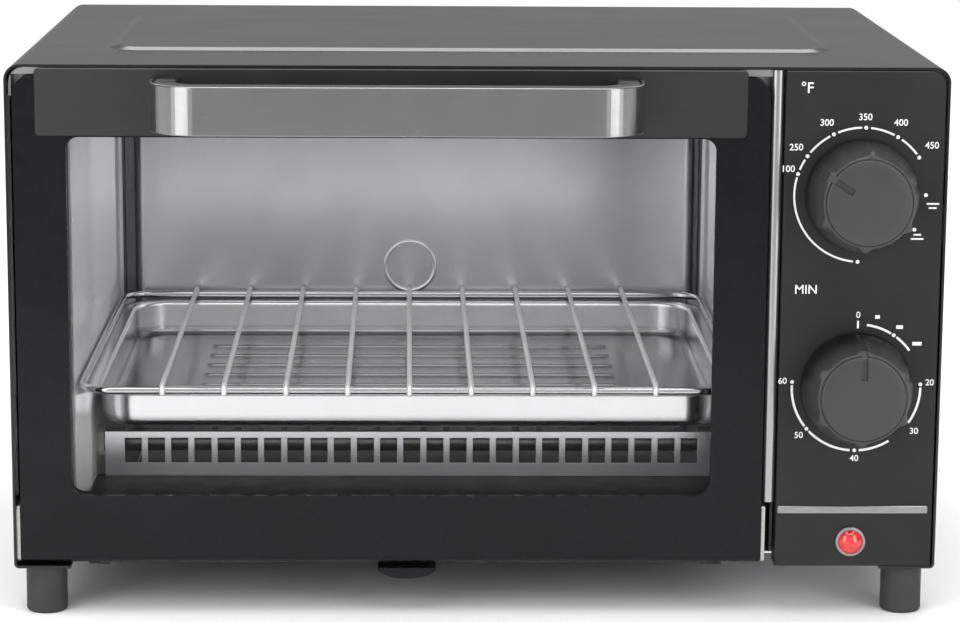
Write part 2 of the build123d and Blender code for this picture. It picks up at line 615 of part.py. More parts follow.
LENS_DOME = 2.6
with BuildPart() as indicator_lens:
    with BuildSketch(Plane.YZ.offset(LAMP_X)) as lens_profile:
        with BuildLine():
            dome_foot = (depth(PANEL_FACE - 1.0), LAMP_Z + LENS_R)
            dome_top = (depth(PANEL_FACE - 1.0 - LENS_DOME), LAMP_Z)
            Polyline(dome_top, (depth(0.6), LAMP_Z), (depth(0.6), LAMP_Z + LAMP_R + 0.3),
                     (depth(6), LAMP_Z + LAMP_R + 0.3), (depth(6), LAMP_Z + LENS_R), dome_foot)
            TangentArc(dome_top, dome_foot, tangent=(0, 1))
        make_face()
    revolve(axis=Axis((LAMP_X, 0, LAMP_Z), (0, 1, 0)))
save(indicator_lens.part, "indicator_lens")

with BuildPart() as neon_lamp:
    with BuildSketch(face_plane(24)):
        spot(LAMP_X, LAMP_Z, LAMP_R)
    extrude(amount=22.6)
    fillet(neon_lamp.faces().sort_by(Axis.Y)[0].edges(), 2.4)
save(neon_lamp.part, "neon_lamp")

BUSH_R = 4.8
BUSH_FRONT = 8.0
BODY_DEPTH = BRACKET_DEPTH + SHEET
with BuildPart() as control_bracket:
    with BuildSketch(face_plane(BRACKET_DEPTH)):
        span(118.5, 177.8, BASE_TOP + 0.5, 212.0, 1.0)
        for kz in (TEMP_Z, TIMER_Z):
            spot(KNOB_X, kz, BUSH_R, Mode.SUBTRACT)
        spot(LAMP_X, LAMP_Z, LAMP_R, Mode.SUBTRACT)
        for sx, sz in BOSS_SPOTS:
            spot(sx, sz, SCREW_R, Mode.SUBTRACT)
    extrude(amount=-SHEET)
    with BuildSketch(level(BASE_TOP + 0.5)):
        span(118.5, 177.8, depth(BODY_DEPTH), depth(BODY_DEPTH + 12))
        with Locations((LAMP_X, depth(19))):
            Rectangle(10, 12, mode=Mode.SUBTRACT)
    extrude(amount=SHEET)
save(control_bracket.part, "control_bracket")

with BuildPart() as panel_screws:
    with BuildSketch(face_plane(BODY_DEPTH)):
        with Locations(*BOSS_SPOTS):
            Circle(SCREW_R)
    extrude(amount=9)
    with BuildSketch(face_plane(BODY_DEPTH)):
        with Locations(*BOSS_SPOTS):
            Circle(3.0)
    extrude(amount=-1.8, taper=15)
save(panel_screws.part, "panel_screws")

# Thermostat: block with contact tabs, and a bushing through the bracket.
with BuildPart() as thermostat:
    with BuildSketch(face_plane(BODY_DEPTH)):
        span(KNOB_X - 17, KNOB_X + 17, TEMP_Z - 15, TEMP_Z + 15, 2.0)
    extrude(amount=-16)
    with BuildSketch(face_plane(BODY_DEPTH + 16)):
        for tx in (-9, 9):
            with Locations((KNOB_X + tx, TEMP_Z)):
                Rectangle(1.0, 6.3)
    extrude(amount=-9)
    with BuildSketch(face_plane(BUSH_FRONT)):
        spot(KNOB_X, TEMP_Z, BUSH_R)
    extrude(amount=-(BODY_DEPTH - BUSH_FRONT))
    with BuildSketch(face_plane(BUSH_FRONT)):
        spot(KNOB_X, TEMP_Z, SHAFT_R + SHAFT_CLEAR)
    extrude(amount=-(BODY_DEPTH - BUSH_FRONT + 8), mode=Mode.SUBTRACT)
save(thermostat.part, "thermostat")

# Clockwork timer in a round can, with its bushing.
TIMER_CAN = (22.0, 34.0)
with BuildPart() as timer:
    with BuildSketch(face_plane(BODY_DEPTH)):
        spot(KNOB_X, TIMER_Z, TIMER_CAN[0])
        with Locations((KNOB_X, TIMER_Z)):
            Rectangle(52, 16)
    extrude(amount=-TIMER_CAN[1])
    with BuildSketch(face_plane(BUSH_FRONT)):
        spot(KNOB_X, TIMER_Z, BUSH_R)
    extrude(amount=-(BODY_DEPTH - BUSH_FRONT))
    with BuildSketch(face_plane(BUSH_FRONT)):
        spot(KNOB_X, TIMER_Z, SHAFT_R + SHAFT_CLEAR)
    extrude(amount=-(BODY_DEPTH - BUSH_FRONT + 8), mode=Mode.SUBTRACT)
save(timer.part, "timer")

# Bell: a dished cup on a stem behind the timer.
BELL_R, BELL_H, BELL_T = 19.0, 11.0, 1.0
BELL_DEPTH = BODY_DEPTH + TIMER_CAN[1]
with BuildPart() as timer_bell:
    with BuildSketch(face_plane(BELL_DEPTH)):
        spot(KNOB_X, TIMER_Z, 3.0)
    extrude(amount=-(3 + BELL_H - BELL_T))
    with BuildSketch(face_plane(BELL_DEPTH + 3)):
        spot(KNOB_X, TIMER_Z, BELL_R)
        spot(KNOB_X, TIMER_Z, BELL_R - BELL_T, Mode.SUBTRACT)
    extrude(amount=-BELL_H)
    with BuildSketch(face_plane(BELL_DEPTH + 3 + BELL_H - BELL_T)):
        spot(KNOB_X, TIMER_Z, BELL_R - BELL_T)
    extrude(amount=-BELL_T)
    fillet(timer_bell.faces().sort_by(Axis.Y)[-1].edges().sort_by(SortBy.LENGTH)[-1], 0.9)
save(timer_bell.part, "timer_bell")

with BuildPart() as bushing_nuts:
    with BuildSketch(face_plane(BRACKET_DEPTH)):
        for kz in (TEMP_Z, TIMER_Z):
            with Locations((KNOB_X, kz)):
                RegularPolygon(7.5, 6)
                Circle(BUSH_R, mode=Mode.SUBTRACT)
    extrude(amount=2.5)
save(bushing_nuts.part, "bushing_nuts")

# =====================================================================================
# Knobs and their shafts
# =====================================================================================

SHAFT_END = -14.0
RIDGE_COUNT = 6
RIDGE_W = 4.6
GROOVE_W = 2.2


def knob(z, pointer_deg, name):
    """Tapered knob with six ridges on its skirt and a pointer groove; pointer_deg is clockwise from up."""
    with BuildPart() as body:
        with BuildSketch(face_plane(KNOB_BACK)):
            spot(KNOB_X, z, KNOB_R)
        extrude(amount=3.0)
        with BuildSketch(face_plane(KNOB_BACK - 3.0)):
            spot(KNOB_X, z, KNOB_R)
        with BuildSketch(face_plane(KNOB_FRONT + 1.6)):
            spot(KNOB_X, z, KNOB_CAP_R + 0.8)
        loft()
        with BuildSketch(face_plane(KNOB_FRONT + 1.6)):
            spot(KNOB_X, z, KNOB_CAP_R)
        extrude(amount=1.6)
        fillet(body.faces().sort_by(Axis.Y)[0].edges(), 1.2)
        # ridges, each a fin that leans on the taper
        for i in range(RIDGE_COUNT):
            turn = radians(90 - pointer_deg + 360 * i / RIDGE_COUNT)
            fin_plane = Plane((KNOB_X, 0, z), x_dir=(cos(turn), 0, sin(turn)), z_dir=(-sin(turn), 0, cos(turn)))
            with BuildSketch(fin_plane):
                with BuildLine():
                    Polyline(*[(r, fin_plane.y_dir.Y * depth(d)) for r, d in
                               ((8, KNOB_BACK - 2), (KNOB_R - 0.3, KNOB_BACK - 2),
                                (KNOB_CAP_R + 1.9, KNOB_FRONT + 3.0), (KNOB_CAP_R - 0.4, KNOB_FRONT + 1.4),
                                (8, KNOB_FRONT + 1.4))], close=True)
                make_face()
            extrude(amount=RIDGE_W / 2, both=True)
        # pointer groove from the rim to half the radius
        with BuildSketch(face_plane(KNOB_FRONT)):
            with Locations(Location((KNOB_X, z), -pointer_deg)):
                with Locations((0, KNOB_CAP_R * 0.75)):
                    Rectangle(GROOVE_W, KNOB_CAP_R * 0.5 + 2)
        extrude(amount=-1.2, mode=Mode.SUBTRACT)
        with BuildSketch(face_plane(KNOB_BACK)):
            spot(KNOB_X, z, SHAFT_R)
        extrude(amount=KNOB_BACK - SHAFT_END, mode=Mode.SUBTRACT)
    save(body.part, name)


def shaft(z, name):
    with BuildPart() as rod:
        with BuildSketch(face_plane(SHAFT_END)):
            spot(KNOB_X, z, SHAFT_R)
        extrude(amount=-(BODY_DEPTH + 7.5 - SHAFT_END))
    save(rod.part, name)


TEMP_POINTER, TIMER_POINTER = -57.0, 0.0
knob(TEMP_Z, TEMP_POINTER, "temp_knob")
knob(TIMER_Z, TIMER_POINTER, "timer_knob")
shaft(TEMP_Z, "thermostat_shaft")
shaft(TIMER_Z, "timer_shaft")

# =====================================================================================
# Rack, pan and crumb tray
# =====================================================================================

PAN_T = 0.8
PAN_RIM = (-156.6, 107.0, 20.0, 222.0)
PAN_MOUTH = (-149.0, 99.4, 27.0, 215.0)
PAN_R = 18.0
PAN_TAPER = 5.0
PAN_FLOOR_Z = 69.0
PAN_RIM_Z = GUIDE_Z + 0.1
RIB_W, RIB_H, RIB_L = 5.0, 1.2, 175.5
RIB_ROWS, RIB_PITCH, RIB_DEPTH = 6, 20.2, 82.0
RIB_XC = -25.8

# Pressed pan: flat rim, steep walls with large corners, and ribs pressed up from the floor.
with BuildPart() as baking_pan:
    with BuildSketch(level(PAN_RIM_Z)):
        span(PAN_RIM[0], PAN_RIM[1], depth(PAN_RIM[2]), depth(PAN_RIM[3]), PAN_R + 6)
    extrude(amount=PAN_T)
    with BuildSketch(level(PAN_RIM_Z + PAN_T)):
        span(PAN_MOUTH[0], PAN_MOUTH[1], depth(PAN_MOUTH[2]), depth(PAN_MOUTH[3]), PAN_R)
    extrude(amount=-(PAN_RIM_Z + PAN_T - PAN_FLOOR_Z), taper=PAN_TAPER)
    with BuildSketch(level(PAN_RIM_Z + PAN_T)):
        span(PAN_MOUTH[0] + PAN_T, PAN_MOUTH[1] - PAN_T, depth(PAN_MOUTH[2]) + PAN_T,
             depth(PAN_MOUTH[3]) - PAN_T, PAN_R - PAN_T)
    extrude(amount=-(PAN_RIM_Z - PAN_FLOOR_Z), taper=PAN_TAPER, mode=Mode.SUBTRACT)
    for row in range(RIB_ROWS):
        with BuildSketch(level(PAN_FLOOR_Z + PAN_T)):
            with Locations((RIB_XC, depth(RIB_DEPTH + RIB_PITCH * row))):
                SlotOverall(RIB_L, RIB_W)
        extrude(amount=RIB_H, taper=30)
save(baking_pan.part, "baking_pan")

RACK_WIRE_R, CROSS_R = 1.9, 1.3
RACK = (-157.2, 107.7, 16.5, 224.5)
RACK_R = 12.0
RACK_Z = PAN_RIM_Z + PAN_T + 0.1 + RACK_WIRE_R
CROSS_COUNT, CROSS_PITCH, CROSS_X0 = 9, 24.2, -122.9

# Outer loop of thick wire, and nine thin wires laid over it, their front ends bent down.
with BuildPart() as wire_rack:
    with BuildLine() as rack_loop:
        half_w = (RACK[1] - RACK[0]) / 2 - RACK_WIRE_R
        half_d = (RACK[3] - RACK[2]) / 2 - RACK_WIRE_R
        rack_c = ((RACK[0] + RACK[1]) / 2, depth((RACK[2] + RACK[3]) / 2))
        FilletPolyline(*[(rack_c[0] + sx * half_w, rack_c[1] + sy * half_d, RACK_Z)
                         for sx, sy in ((-1, -1), (1, -1), (1, 1), (-1, 1))], radius=RACK_R, close=True)
    with BuildSketch(Plane((rack_c[0], rack_c[1] - half_d, RACK_Z), x_dir=(0, 1, 0), z_dir=(1, 0, 0))):
        Circle(RACK_WIRE_R)
    sweep()
    cross_z = RACK_Z + RACK_WIRE_R + CROSS_R - 0.5
    front_y = rack_c[1] - half_d - RACK_WIRE_R - CROSS_R + 0.5
    back_y = rack_c[1] + half_d + RACK_WIRE_R + 0.5
    for i in range(CROSS_COUNT):
        x = CROSS_X0 + CROSS_PITCH * i
        with BuildLine():
            FilletPolyline((x, front_y, RACK_Z - 0.8), (x, front_y, cross_z), (x, back_y, cross_z), radius=2.2)
        with BuildSketch(Plane((x, front_y, RACK_Z - 0.8), x_dir=(1, 0, 0), z_dir=(0, 0, 1))):
            Circle(CROSS_R)
        sweep()
save(wire_rack.part, "wire_rack")

TRAY = (-151.4, 96.4, 22.0, 226.0)
TRAY_Z = 15.4
TRAY_TOP = 18.6
TRAY_T = 0.8
PULL_X, PULL_R, PULL_DEPTH = -27.0, 11.4, 2.0
PULL_BOTTOM = 14.2

# Shallow tray that slides under the base.
with BuildPart() as crumb_tray:
    with BuildSketch(level(TRAY_Z)):
        span(TRAY[0], TRAY[1], depth(TRAY[2]), depth(TRAY[3]), 3.0)
    extrude(amount=TRAY_TOP - TRAY_Z)
    with BuildSketch(level(TRAY_Z + TRAY_T)):
        span(TRAY[0] + TRAY_T, TRAY[1] - TRAY_T, depth(TRAY[2]) + TRAY_T, depth(TRAY[3]) - TRAY_T, 2.2)
    extrude(amount=TRAY_TOP, mode=Mode.SUBTRACT)
save(crumb_tray.part, "crumb_tray")

# Pull: a tongue from the tray's front wall and a half-round lip that hangs under the door.
with BuildPart() as crumb_tray_pull:
    with BuildSketch(level(TRAY_TOP - 1.2)):
        span(PULL_X - PULL_R, PULL_X + PULL_R, depth(PULL_DEPTH), depth(TRAY[2]))
    extrude(amount=1.2)
    with BuildSketch(face_plane(PULL_DEPTH)):
        with Locations((PULL_X, TRAY_TOP)):
            Ellipse(PULL_R, TRAY_TOP - PULL_BOTTOM)
            with Locations((0, 10)):
                Rectangle(4 * PULL_R, 20, mode=Mode.SUBTRACT)
    extrude(amount=-1.4)
    fillet(crumb_tray_pull.edges().filter_by(GeomType.ELLIPSE), 0.5)
save(crumb_tray_pull.part, "crumb_tray_pull")

# Two channels under the base that carry the tray.
with BuildPart() as tray_rails:
    for x_wall, inward in ((TRAY[0] - 1.6, 1), (TRAY[1] + 1.6, -1)):
        with BuildSketch(face_plane(24)):
            span(x_wall - 0.5, x_wall + 0.5, TRAY_Z - 1.3, BODY_BOTTOM + SHEET)
            lip = sorted((x_wall, x_wall + inward * 8))
            span(lip[0], lip[1], TRAY_Z - 1.3, TRAY_Z - 0.3)
            flange = sorted((x_wall, x_wall - inward * 5))
            span(flange[0], flange[1], BODY_BOTTOM, BODY_BOTTOM + SHEET)
        extrude(amount=-200)
save(tray_rails.part, "tray_rails")

# =====================================================================================
# Feet and fasteners
# =====================================================================================

FEET = {"foot_front_left": (-FOOT_X, FOOT_FRONT), "foot_front_right": (FOOT_X, FOOT_FRONT),
        "foot_rear_left": (-FOOT_X, FOOT_REAR), "foot_rear_right": (FOOT_X, FOOT_REAR)}
FOOT_RECESS_R = 4.0
for foot_name, (foot_x, foot_depth) in FEET.items():
    with BuildPart() as foot:
        with BuildSketch(level(0)):
            with Locations((foot_x, depth(foot_depth))):
                Circle(FOOT_R)
        extrude(amount=BODY_BOTTOM)
        fillet(foot.faces().sort_by(Axis.Z)[0].edges(), 1.4)
        with BuildSketch(level(0)):
            with Locations((foot_x, depth(foot_depth))):
                Circle(FOOT_RECESS_R)
        extrude(amount=9, mode=Mode.SUBTRACT)
        with BuildSketch(level(9)):
            with Locations((foot_x, depth(foot_depth))):
                Circle(SCREW_R)
        extrude(amount=BODY_BOTTOM - 9, mode=Mode.SUBTRACT)
    save(foot.part, foot_name)

with BuildPart() as foot_screws:
    for foot_x, foot_depth in FEET.values():
        screw_top = BODY_BOTTOM + (SHEET if foot_depth == FOOT_FRONT else 2 * SHEET)
        with BuildSketch(level(9)):
            with Locations((foot_x, depth(foot_depth))):
                Circle(SCREW_R)
        extrude(amount=screw_top - 9)
        with BuildSketch(level(6.6)):
            with Locations((foot_x, depth(foot_depth))):
                Circle(3.2)
        extrude(amount=2.4)
save(foot_screws.part, "foot_screws")

with BuildPart() as rear_screws:
    with BuildSketch(face_plane(REAR_DEPTH - 5)):
        with Locations(*REAR_SCREWS):
            Circle(SCREW_R)
    extrude(amount=-(5 + SHEET))
    with BuildSketch(face_plane(REAR_DEPTH + SHEET)):
        with Locations(*REAR_SCREWS):
            Circle(3.2)
    extrude(amount=-1.4, taper=20)
save(rear_screws.part, "rear_screws")
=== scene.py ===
import json
from math import cos, exp, pi, radians, sin, tau

import bmesh
import bpy
from mathutils import Matrix, Vector


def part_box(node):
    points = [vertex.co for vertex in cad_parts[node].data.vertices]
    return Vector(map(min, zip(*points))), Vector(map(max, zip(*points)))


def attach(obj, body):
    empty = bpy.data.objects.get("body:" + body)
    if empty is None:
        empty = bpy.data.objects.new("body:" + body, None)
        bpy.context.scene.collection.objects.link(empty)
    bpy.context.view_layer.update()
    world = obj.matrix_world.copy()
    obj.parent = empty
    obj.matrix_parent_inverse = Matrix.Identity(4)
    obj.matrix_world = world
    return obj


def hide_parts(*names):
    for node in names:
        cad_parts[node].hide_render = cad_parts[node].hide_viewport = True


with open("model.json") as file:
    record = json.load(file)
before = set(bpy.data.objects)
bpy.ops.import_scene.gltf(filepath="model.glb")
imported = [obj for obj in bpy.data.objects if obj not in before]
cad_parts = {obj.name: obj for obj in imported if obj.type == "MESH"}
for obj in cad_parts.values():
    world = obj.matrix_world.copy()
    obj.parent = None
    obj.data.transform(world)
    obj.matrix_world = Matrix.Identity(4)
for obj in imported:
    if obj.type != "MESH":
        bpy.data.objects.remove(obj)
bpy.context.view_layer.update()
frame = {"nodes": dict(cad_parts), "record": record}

# Toaster oven. Metres, in the frame of the CAD part: X to the right, +Y to the back, +Z up.
# Depths are counted from the front plane, which is the front edge of the outer wrap.
MM = 0.001
nodes = frame["nodes"]
FRONT_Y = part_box("outer_wrap")[0].y


def at(x, depth, z):
    """Point from millimetres: X, depth behind the front plane, Z."""
    return Vector((x * MM, FRONT_Y + depth * MM, z * MM))


# =====================================================================================
# Camera, light and stage
# =====================================================================================

CAMERA_PLACE = (-27.13, -1174.95, 349.84)       # X, depth, Z in millimetres
CAMERA_YAW, CAMERA_PITCH, CAMERA_ROLL = 1.370, 10.988, 0.378
CAMERA_LENS, SENSOR = 116.63, 36.0


def make_camera():
    yaw, pitch, roll = (radians(v) for v in (CAMERA_YAW, CAMERA_PITCH, CAMERA_ROLL))
    ahead = Vector((sin(yaw) * cos(pitch), cos(yaw) * cos(pitch), -sin(pitch)))
    right = Vector((cos(yaw), -sin(yaw), 0))
    up = right.cross(ahead)
    turned_right = right * cos(roll) + up * sin(roll)
    turned_up = up * cos(roll) - right * sin(roll)
    data = bpy.data.cameras.new("camera")
    data.lens, data.sensor_width, data.sensor_fit = CAMERA_LENS, SENSOR, "HORIZONTAL"
    data.clip_start, data.clip_end = 0.05, 20
    cam = bpy.data.objects.new("camera", data)
    turn = Matrix((turned_right, turned_up, -ahead)).transposed().to_4x4()
    cam.matrix_world = Matrix.Translation(at(*CAMERA_PLACE)) @ turn
    bpy.context.collection.objects.link(cam)
    bpy.context.scene.camera = cam


def softbox(name, azimuth, distance, height, width, tall, radiance, aim=(0, 0, 0.12)):
    """Soft rectangular lamp at an azimuth from the front (to the right is positive), in metres."""
    place = Vector((distance * sin(radians(azimuth)), -distance * cos(radians(azimuth)), height))
    data = bpy.data.lights.new(name, "AREA")
    data.shape, data.size, data.size_y = "RECTANGLE", width, tall
    data.energy = radiance * pi * width * tall
    lamp = bpy.data.objects.new(name, data)
    lamp.location = place
    lamp.rotation_euler = (Vector(aim) - place).to_track_quat("-Z", "Y").to_euler()
    lamp.visible_camera = False
    bpy.context.collection.objects.link(lamp)


FILL_LIGHT, FILL_SIZE = 1.5, (0.22, 0.09)
FILL_PLACE, FILL_TILT = (-25, 135, 196), 4      # X, depth, Z in millimetres


def cavity_fill():
    """Soft light just under the oven's ceiling, hidden from the camera, tilted to the rear."""
    light = bpy.data.lights.new("cavity_fill", "AREA")
    light.shape, light.size, light.size_y = "RECTANGLE", *FILL_SIZE
    light.energy = FILL_LIGHT * light.size * light.size_y * pi
    lamp = bpy.data.objects.new("cavity_fill", light)
    lamp.location, lamp.rotation_euler = at(*FILL_PLACE), (radians(FILL_TILT), 0, 0)
    lamp.visible_camera = False
    bpy.context.collection.objects.link(lamp)


FLOOR_HALF, FLOOR_GREY = 6.0, 0.9
CARD_GREY, CARD_CORNERS = 0.42, ((-3.0, -3.4, 0.003), (3.0, -0.62, 0.003))
WORLD_LIGHT = 0.34
SUN_LIGHT, SUN_WIDTH = 2.6, 55.0


def quad(low, high):
    """Flat mesh between two corners at one height."""
    mesh = bpy.data.meshes.new("quad")
    mesh.from_pydata([(low[0], low[1], low[2]), (high[0], low[1], low[2]), (high[0], high[1], low[2]),
                      (low[0], high[1], low[2])], [], [(0, 1, 2, 3)])
    return mesh


def stage_piece(name, mesh, grey, rough, specular):
    """Part of the stage in one plain matt grey."""
    piece = bpy.data.objects.new(name, mesh)
    bpy.context.collection.objects.link(piece)
    mat = bpy.data.materials.new(name)
    mat.use_nodes = True
    bsdf = mat.node_tree.nodes["Principled BSDF"]
    bsdf.inputs["Base Color"].default_value = (grey, grey, grey, 1)
    bsdf.inputs["Roughness"].default_value = rough
    bsdf.inputs["Specular IOR Level"].default_value = specular
    mesh.materials.append(mat)
    return piece


def make_stage():
    scene = bpy.context.scene
    scene.view_settings.view_transform = "Standard"
    scene.view_settings.look = "None"
    world = bpy.data.worlds.new("studio")
    world.use_nodes = True
    world.node_tree.nodes["Background"].inputs["Color"].default_value = (1, 1, 1, 1)
    world.node_tree.nodes["Background"].inputs["Strength"].default_value = WORLD_LIGHT
    scene.world = world

    bm = bmesh.new()
    bmesh.ops.create_grid(bm, x_segments=2, y_segments=2, size=FLOOR_HALF)
    mesh = bpy.data.meshes.new("floor")
    bm.to_mesh(mesh)
    bm.free()
    stage_piece("floor", mesh, FLOOR_GREY, 0.8, 0.2)
    # seen only in reflections: what the oven's bright metal mirrors of the floor in front of it
    card = stage_piece("grey_card", quad(*CARD_CORNERS), CARD_GREY, 0.9, 0.5)
    card.visible_camera = card.visible_diffuse = card.visible_shadow = False

    sun = bpy.data.lights.new("overhead", "SUN")
    sun.energy, sun.angle = SUN_LIGHT, radians(SUN_WIDTH)
    lamp = bpy.data.objects.new("overhead", sun)
    lamp.rotation_euler = (radians(8), 0, 0)
    bpy.context.collection.objects.link(lamp)
    softbox("box_left", -40, 0.95, 0.40, 0.50, 0.80, 3.4)
    softbox("box_right", 42, 1.0, 0.40, 0.42, 0.80, 3.6)
    softbox("box_front", -2, 1.75, 0.74, 1.3, 0.75, 0.95)
    cavity_fill()
    softbox("box_roof", 180, 1.3, 1.17, 1.9, 0.34, 3.7, (0, 0, 0.2))


make_camera()
make_stage()

# =====================================================================================
# Materials
# =====================================================================================


class Finish:
    """A Principled material, with small helpers that add its procedural detail."""

    def __init__(self, name, colour, rough, metal=0.0, **plain):
        self.mat = bpy.data.materials.new(name)
        self.mat.use_nodes = True
        self.tree = self.mat.node_tree
        self.bsdf = self.tree.nodes["Principled BSDF"]
        self.colour, self.rough = (*colour, 1), rough
        self.bsdf.inputs["Base Color"].default_value = self.colour
        self.bsdf.inputs["Roughness"].default_value = rough
        self.bsdf.inputs["Metallic"].default_value = metal
        for socket, value in plain.items():
            self.bsdf.inputs[socket.replace("_", " ")].default_value = value
        self.coords = self.tree.nodes.new("ShaderNodeTexCoord").outputs["Object"]
        self.height = None

    def node(self, kind, **settings):
        made = self.tree.nodes.new("ShaderNode" + kind)
        for key, value in settings.items():
            if key in made.inputs:
                made.inputs[key].default_value = value
            else:
                setattr(made, key, value)
        return made

    def link(self, a, b):
        self.tree.links.new(a, b)

    def noise(self, size_mm, stretch=(1, 1, 1), detail=3.0, rough=0.5):
        """Noise whose grain is about size_mm; stretch lengthens it along an axis."""
        mapping = self.node("Mapping")
        mapping.inputs["Scale"].default_value = [1 / (size_mm * MM * s) for s in stretch]
        self.link(self.coords, mapping.inputs["Vector"])
        made = self.node("TexNoise", Scale=1.0, Detail=detail, Roughness=rough)
        self.link(mapping.outputs["Vector"], made.inputs["Vector"])
        return made.outputs["Fac"]

    def spread(self, fac, low, high, start=0.3, end=0.7):
        made = self.node("MapRange", interpolation_type="SMOOTHSTEP")
        for key, value in (("From Min", start), ("From Max", end), ("To Min", low), ("To Max", high)):
            made.inputs[key].default_value = value
        self.link(fac, made.inputs["Value"])
        return made.outputs["Result"]

    def along(self, axis):
        """Position along an axis of the object, in metres."""
        split = self.node("SeparateXYZ")
        self.link(self.coords, split.inputs[0])
        return split.outputs[axis]

    def shade(self, fac, dark, light):
        """Colour between two colours by fac."""
        made = self.node("Mix", data_type="RGBA")
        made.inputs[6].default_value = (*dark, 1)
        made.inputs[7].default_value = (*light, 1)
        self.link(fac, made.inputs[0])
        self.link(made.outputs[2], self.bsdf.inputs["Base Color"])
        return self

    def gloss(self, fac, low, high, start=0.3, end=0.7):
        self.link(self.spread(fac, low, high, start, end), self.bsdf.inputs["Roughness"])
        return self

    def bump(self, fac, height_mm, strength=1.0):
        made = self.node("Bump")
        made.inputs["Strength"].default_value = strength
        made.inputs["Distance"].default_value = height_mm * MM
        self.link(fac, made.inputs["Height"])
        if self.height is not None:
            self.link(self.height, made.inputs["Normal"])
        self.height = made.outputs["Normal"]
        self.link(self.height, self.bsdf.inputs["Normal"])
        return self


# heights over which the painted shade on the pan's floor fades into the brighter walls
PAN_FLOOR_SHADE_FADE = (71.2 * MM, 74.2 * MM)


def black_paint():
    """Baked enamel on steel: a faint orange peel, and dust-fine variation of gloss."""
    f = Finish("black_paint", (0.008, 0.008, 0.0085), 0.18, Specular_IOR_Level=0.4)
    f.shade(f.spread(f.noise(60, detail=2), 0, 1), (0.007, 0.007, 0.0075), (0.010, 0.010, 0.0105))
    f.gloss(f.noise(40, detail=2), 0.165, 0.195)
    return f.bump(f.noise(1.4, detail=1), 0.002).mat


def galvanised(name, dark, light, rough, metal, band=None):
    """Aluminised sheet: soft cloudy tone and a fine rolled grain; band darkens it between two heights as
    painted shade.
    """
    f = Finish(name, light, rough, metal)
    f.bump(f.noise(0.6, (1, 1, 14), detail=1), 0.002)
    cloud = f.spread(f.noise(26, (1, 1, 1.6), detail=2), 0.84, 1.0, 0.2, 0.8)
    # band: painted shade, colour darkened between its two heights
    if band:
        add = f.node("Math", operation="ADD")
        f.link(cloud, add.inputs[0])
        f.link(f.spread(f.along("Z"), 0, -0.9, band[0] * MM, band[1] * MM), add.inputs[1])
        cloud = add.outputs[0]
    return f.shade(cloud, dark, light).mat


def plated(name, colour, rough, grain=(10, 1, 1), contrast=0.14, lines_mm=0.003):
    """Brushed or plated metal with fine parallel lines."""
    f = Finish(name, colour, rough, 1.0)
    fac = f.noise(0.5, grain, detail=3)
    dark = tuple(c * (1 - contrast) for c in colour)
    f.shade(f.spread(fac, 0, 1), dark, colour)
    f.gloss(f.noise(20, detail=1), rough * 0.94, rough * 1.06)
    return f.bump(fac, lines_mm).mat


def chrome(name, colour, rough, metal):
    f = Finish(name, colour, rough, metal)
    f.shade(f.spread(f.noise(9, detail=1), 0, 1), tuple(c * 0.96 for c in colour), colour)
    return f.mat


def pan_metal_painted_shade():
    """Bright pressed steel with painted shade: its floor is coloured darker than its walls and rim."""
    f = Finish("pan_silver", (0.9, 0.9, 0.91), 0.22, 1.0)
    f.shade(f.spread(f.along("Z"), 0, 1, *PAN_FLOOR_SHADE_FADE), (0.34, 0.34, 0.345), (0.84, 0.84, 0.85))
    f.gloss(f.noise(20, detail=1), 0.2, 0.24)
    return f.bump(f.noise(0.5, (14, 1, 1), detail=2), 0.0006).mat


def moulded(name, colour, rough, pit_mm=0.5, depth_mm=0.012, shine=0.45):
    """Moulded plastic with a fine spark texture."""
    f = Finish(name, colour, rough, Specular_IOR_Level=shine)
    light = tuple(c * 1.35 for c in colour)
    f.shade(f.spread(f.noise(25, detail=3), 0, 1), colour, light)
    f.gloss(f.noise(7, detail=4), rough * 0.88, rough * 1.12)
    return f.bump(f.noise(pit_mm, detail=1), depth_mm).mat


def knob_plastic_painted_shade():
    """Black moulding with painted shade: darker on the skirt behind than on the cap in front."""
    f = Finish("knob_black", (0.028, 0.028, 0.0285), 0.42, Specular_IOR_Level=0.42)
    # painted shade: colour runs from dark at the skirt to lighter at the cap
    face = f.spread(f.along("Y"), 1, 0, FRONT_Y - 19 * MM, FRONT_Y - 6 * MM)
    f.shade(face, (0.005, 0.005, 0.0055), (0.036, 0.036, 0.0365))
    f.gloss(f.noise(7, detail=2), 0.37, 0.45)
    return f.bump(f.noise(0.5, detail=1), 0.004).mat


def pane():
    f = Finish("glass", (0.03, 0.035, 0.035), 0.02, Alpha=0.07, Specular_IOR_Level=0.4)
    return f.mat


def red_lens():
    """Clear red moulding over a lit neon lamp: a faint even glow and a random variation of tone."""
    f = Finish("lens_red", (0.6, 0.012, 0.01), 0.12, Coat_Weight=1.0, Coat_Roughness=0.05)
    f.bsdf.inputs["Emission Color"].default_value = (1, 0.03, 0.01, 1)
    f.bsdf.inputs["Emission Strength"].default_value = 0.12
    f.shade(f.spread(f.noise(2.5, detail=2), 0, 1), (0.42, 0.006, 0.005), (0.7, 0.02, 0.015))
    return f.mat


def printed_white():
    f = Finish("printed_white", (0.8, 0.8, 0.8), 0.5)
    f.shade(f.spread(f.noise(0.4, detail=2), 0, 1), (0.7, 0.7, 0.7), (0.86, 0.86, 0.86))
    return f.mat


def ceramic():
    f = Finish("ceramic", (0.82, 0.8, 0.75), 0.6)
    f.shade(f.spread(f.noise(3, detail=4), 0, 1), (0.7, 0.67, 0.6), (0.86, 0.84, 0.8))
    return f.bump(f.noise(0.6), 0.03).mat


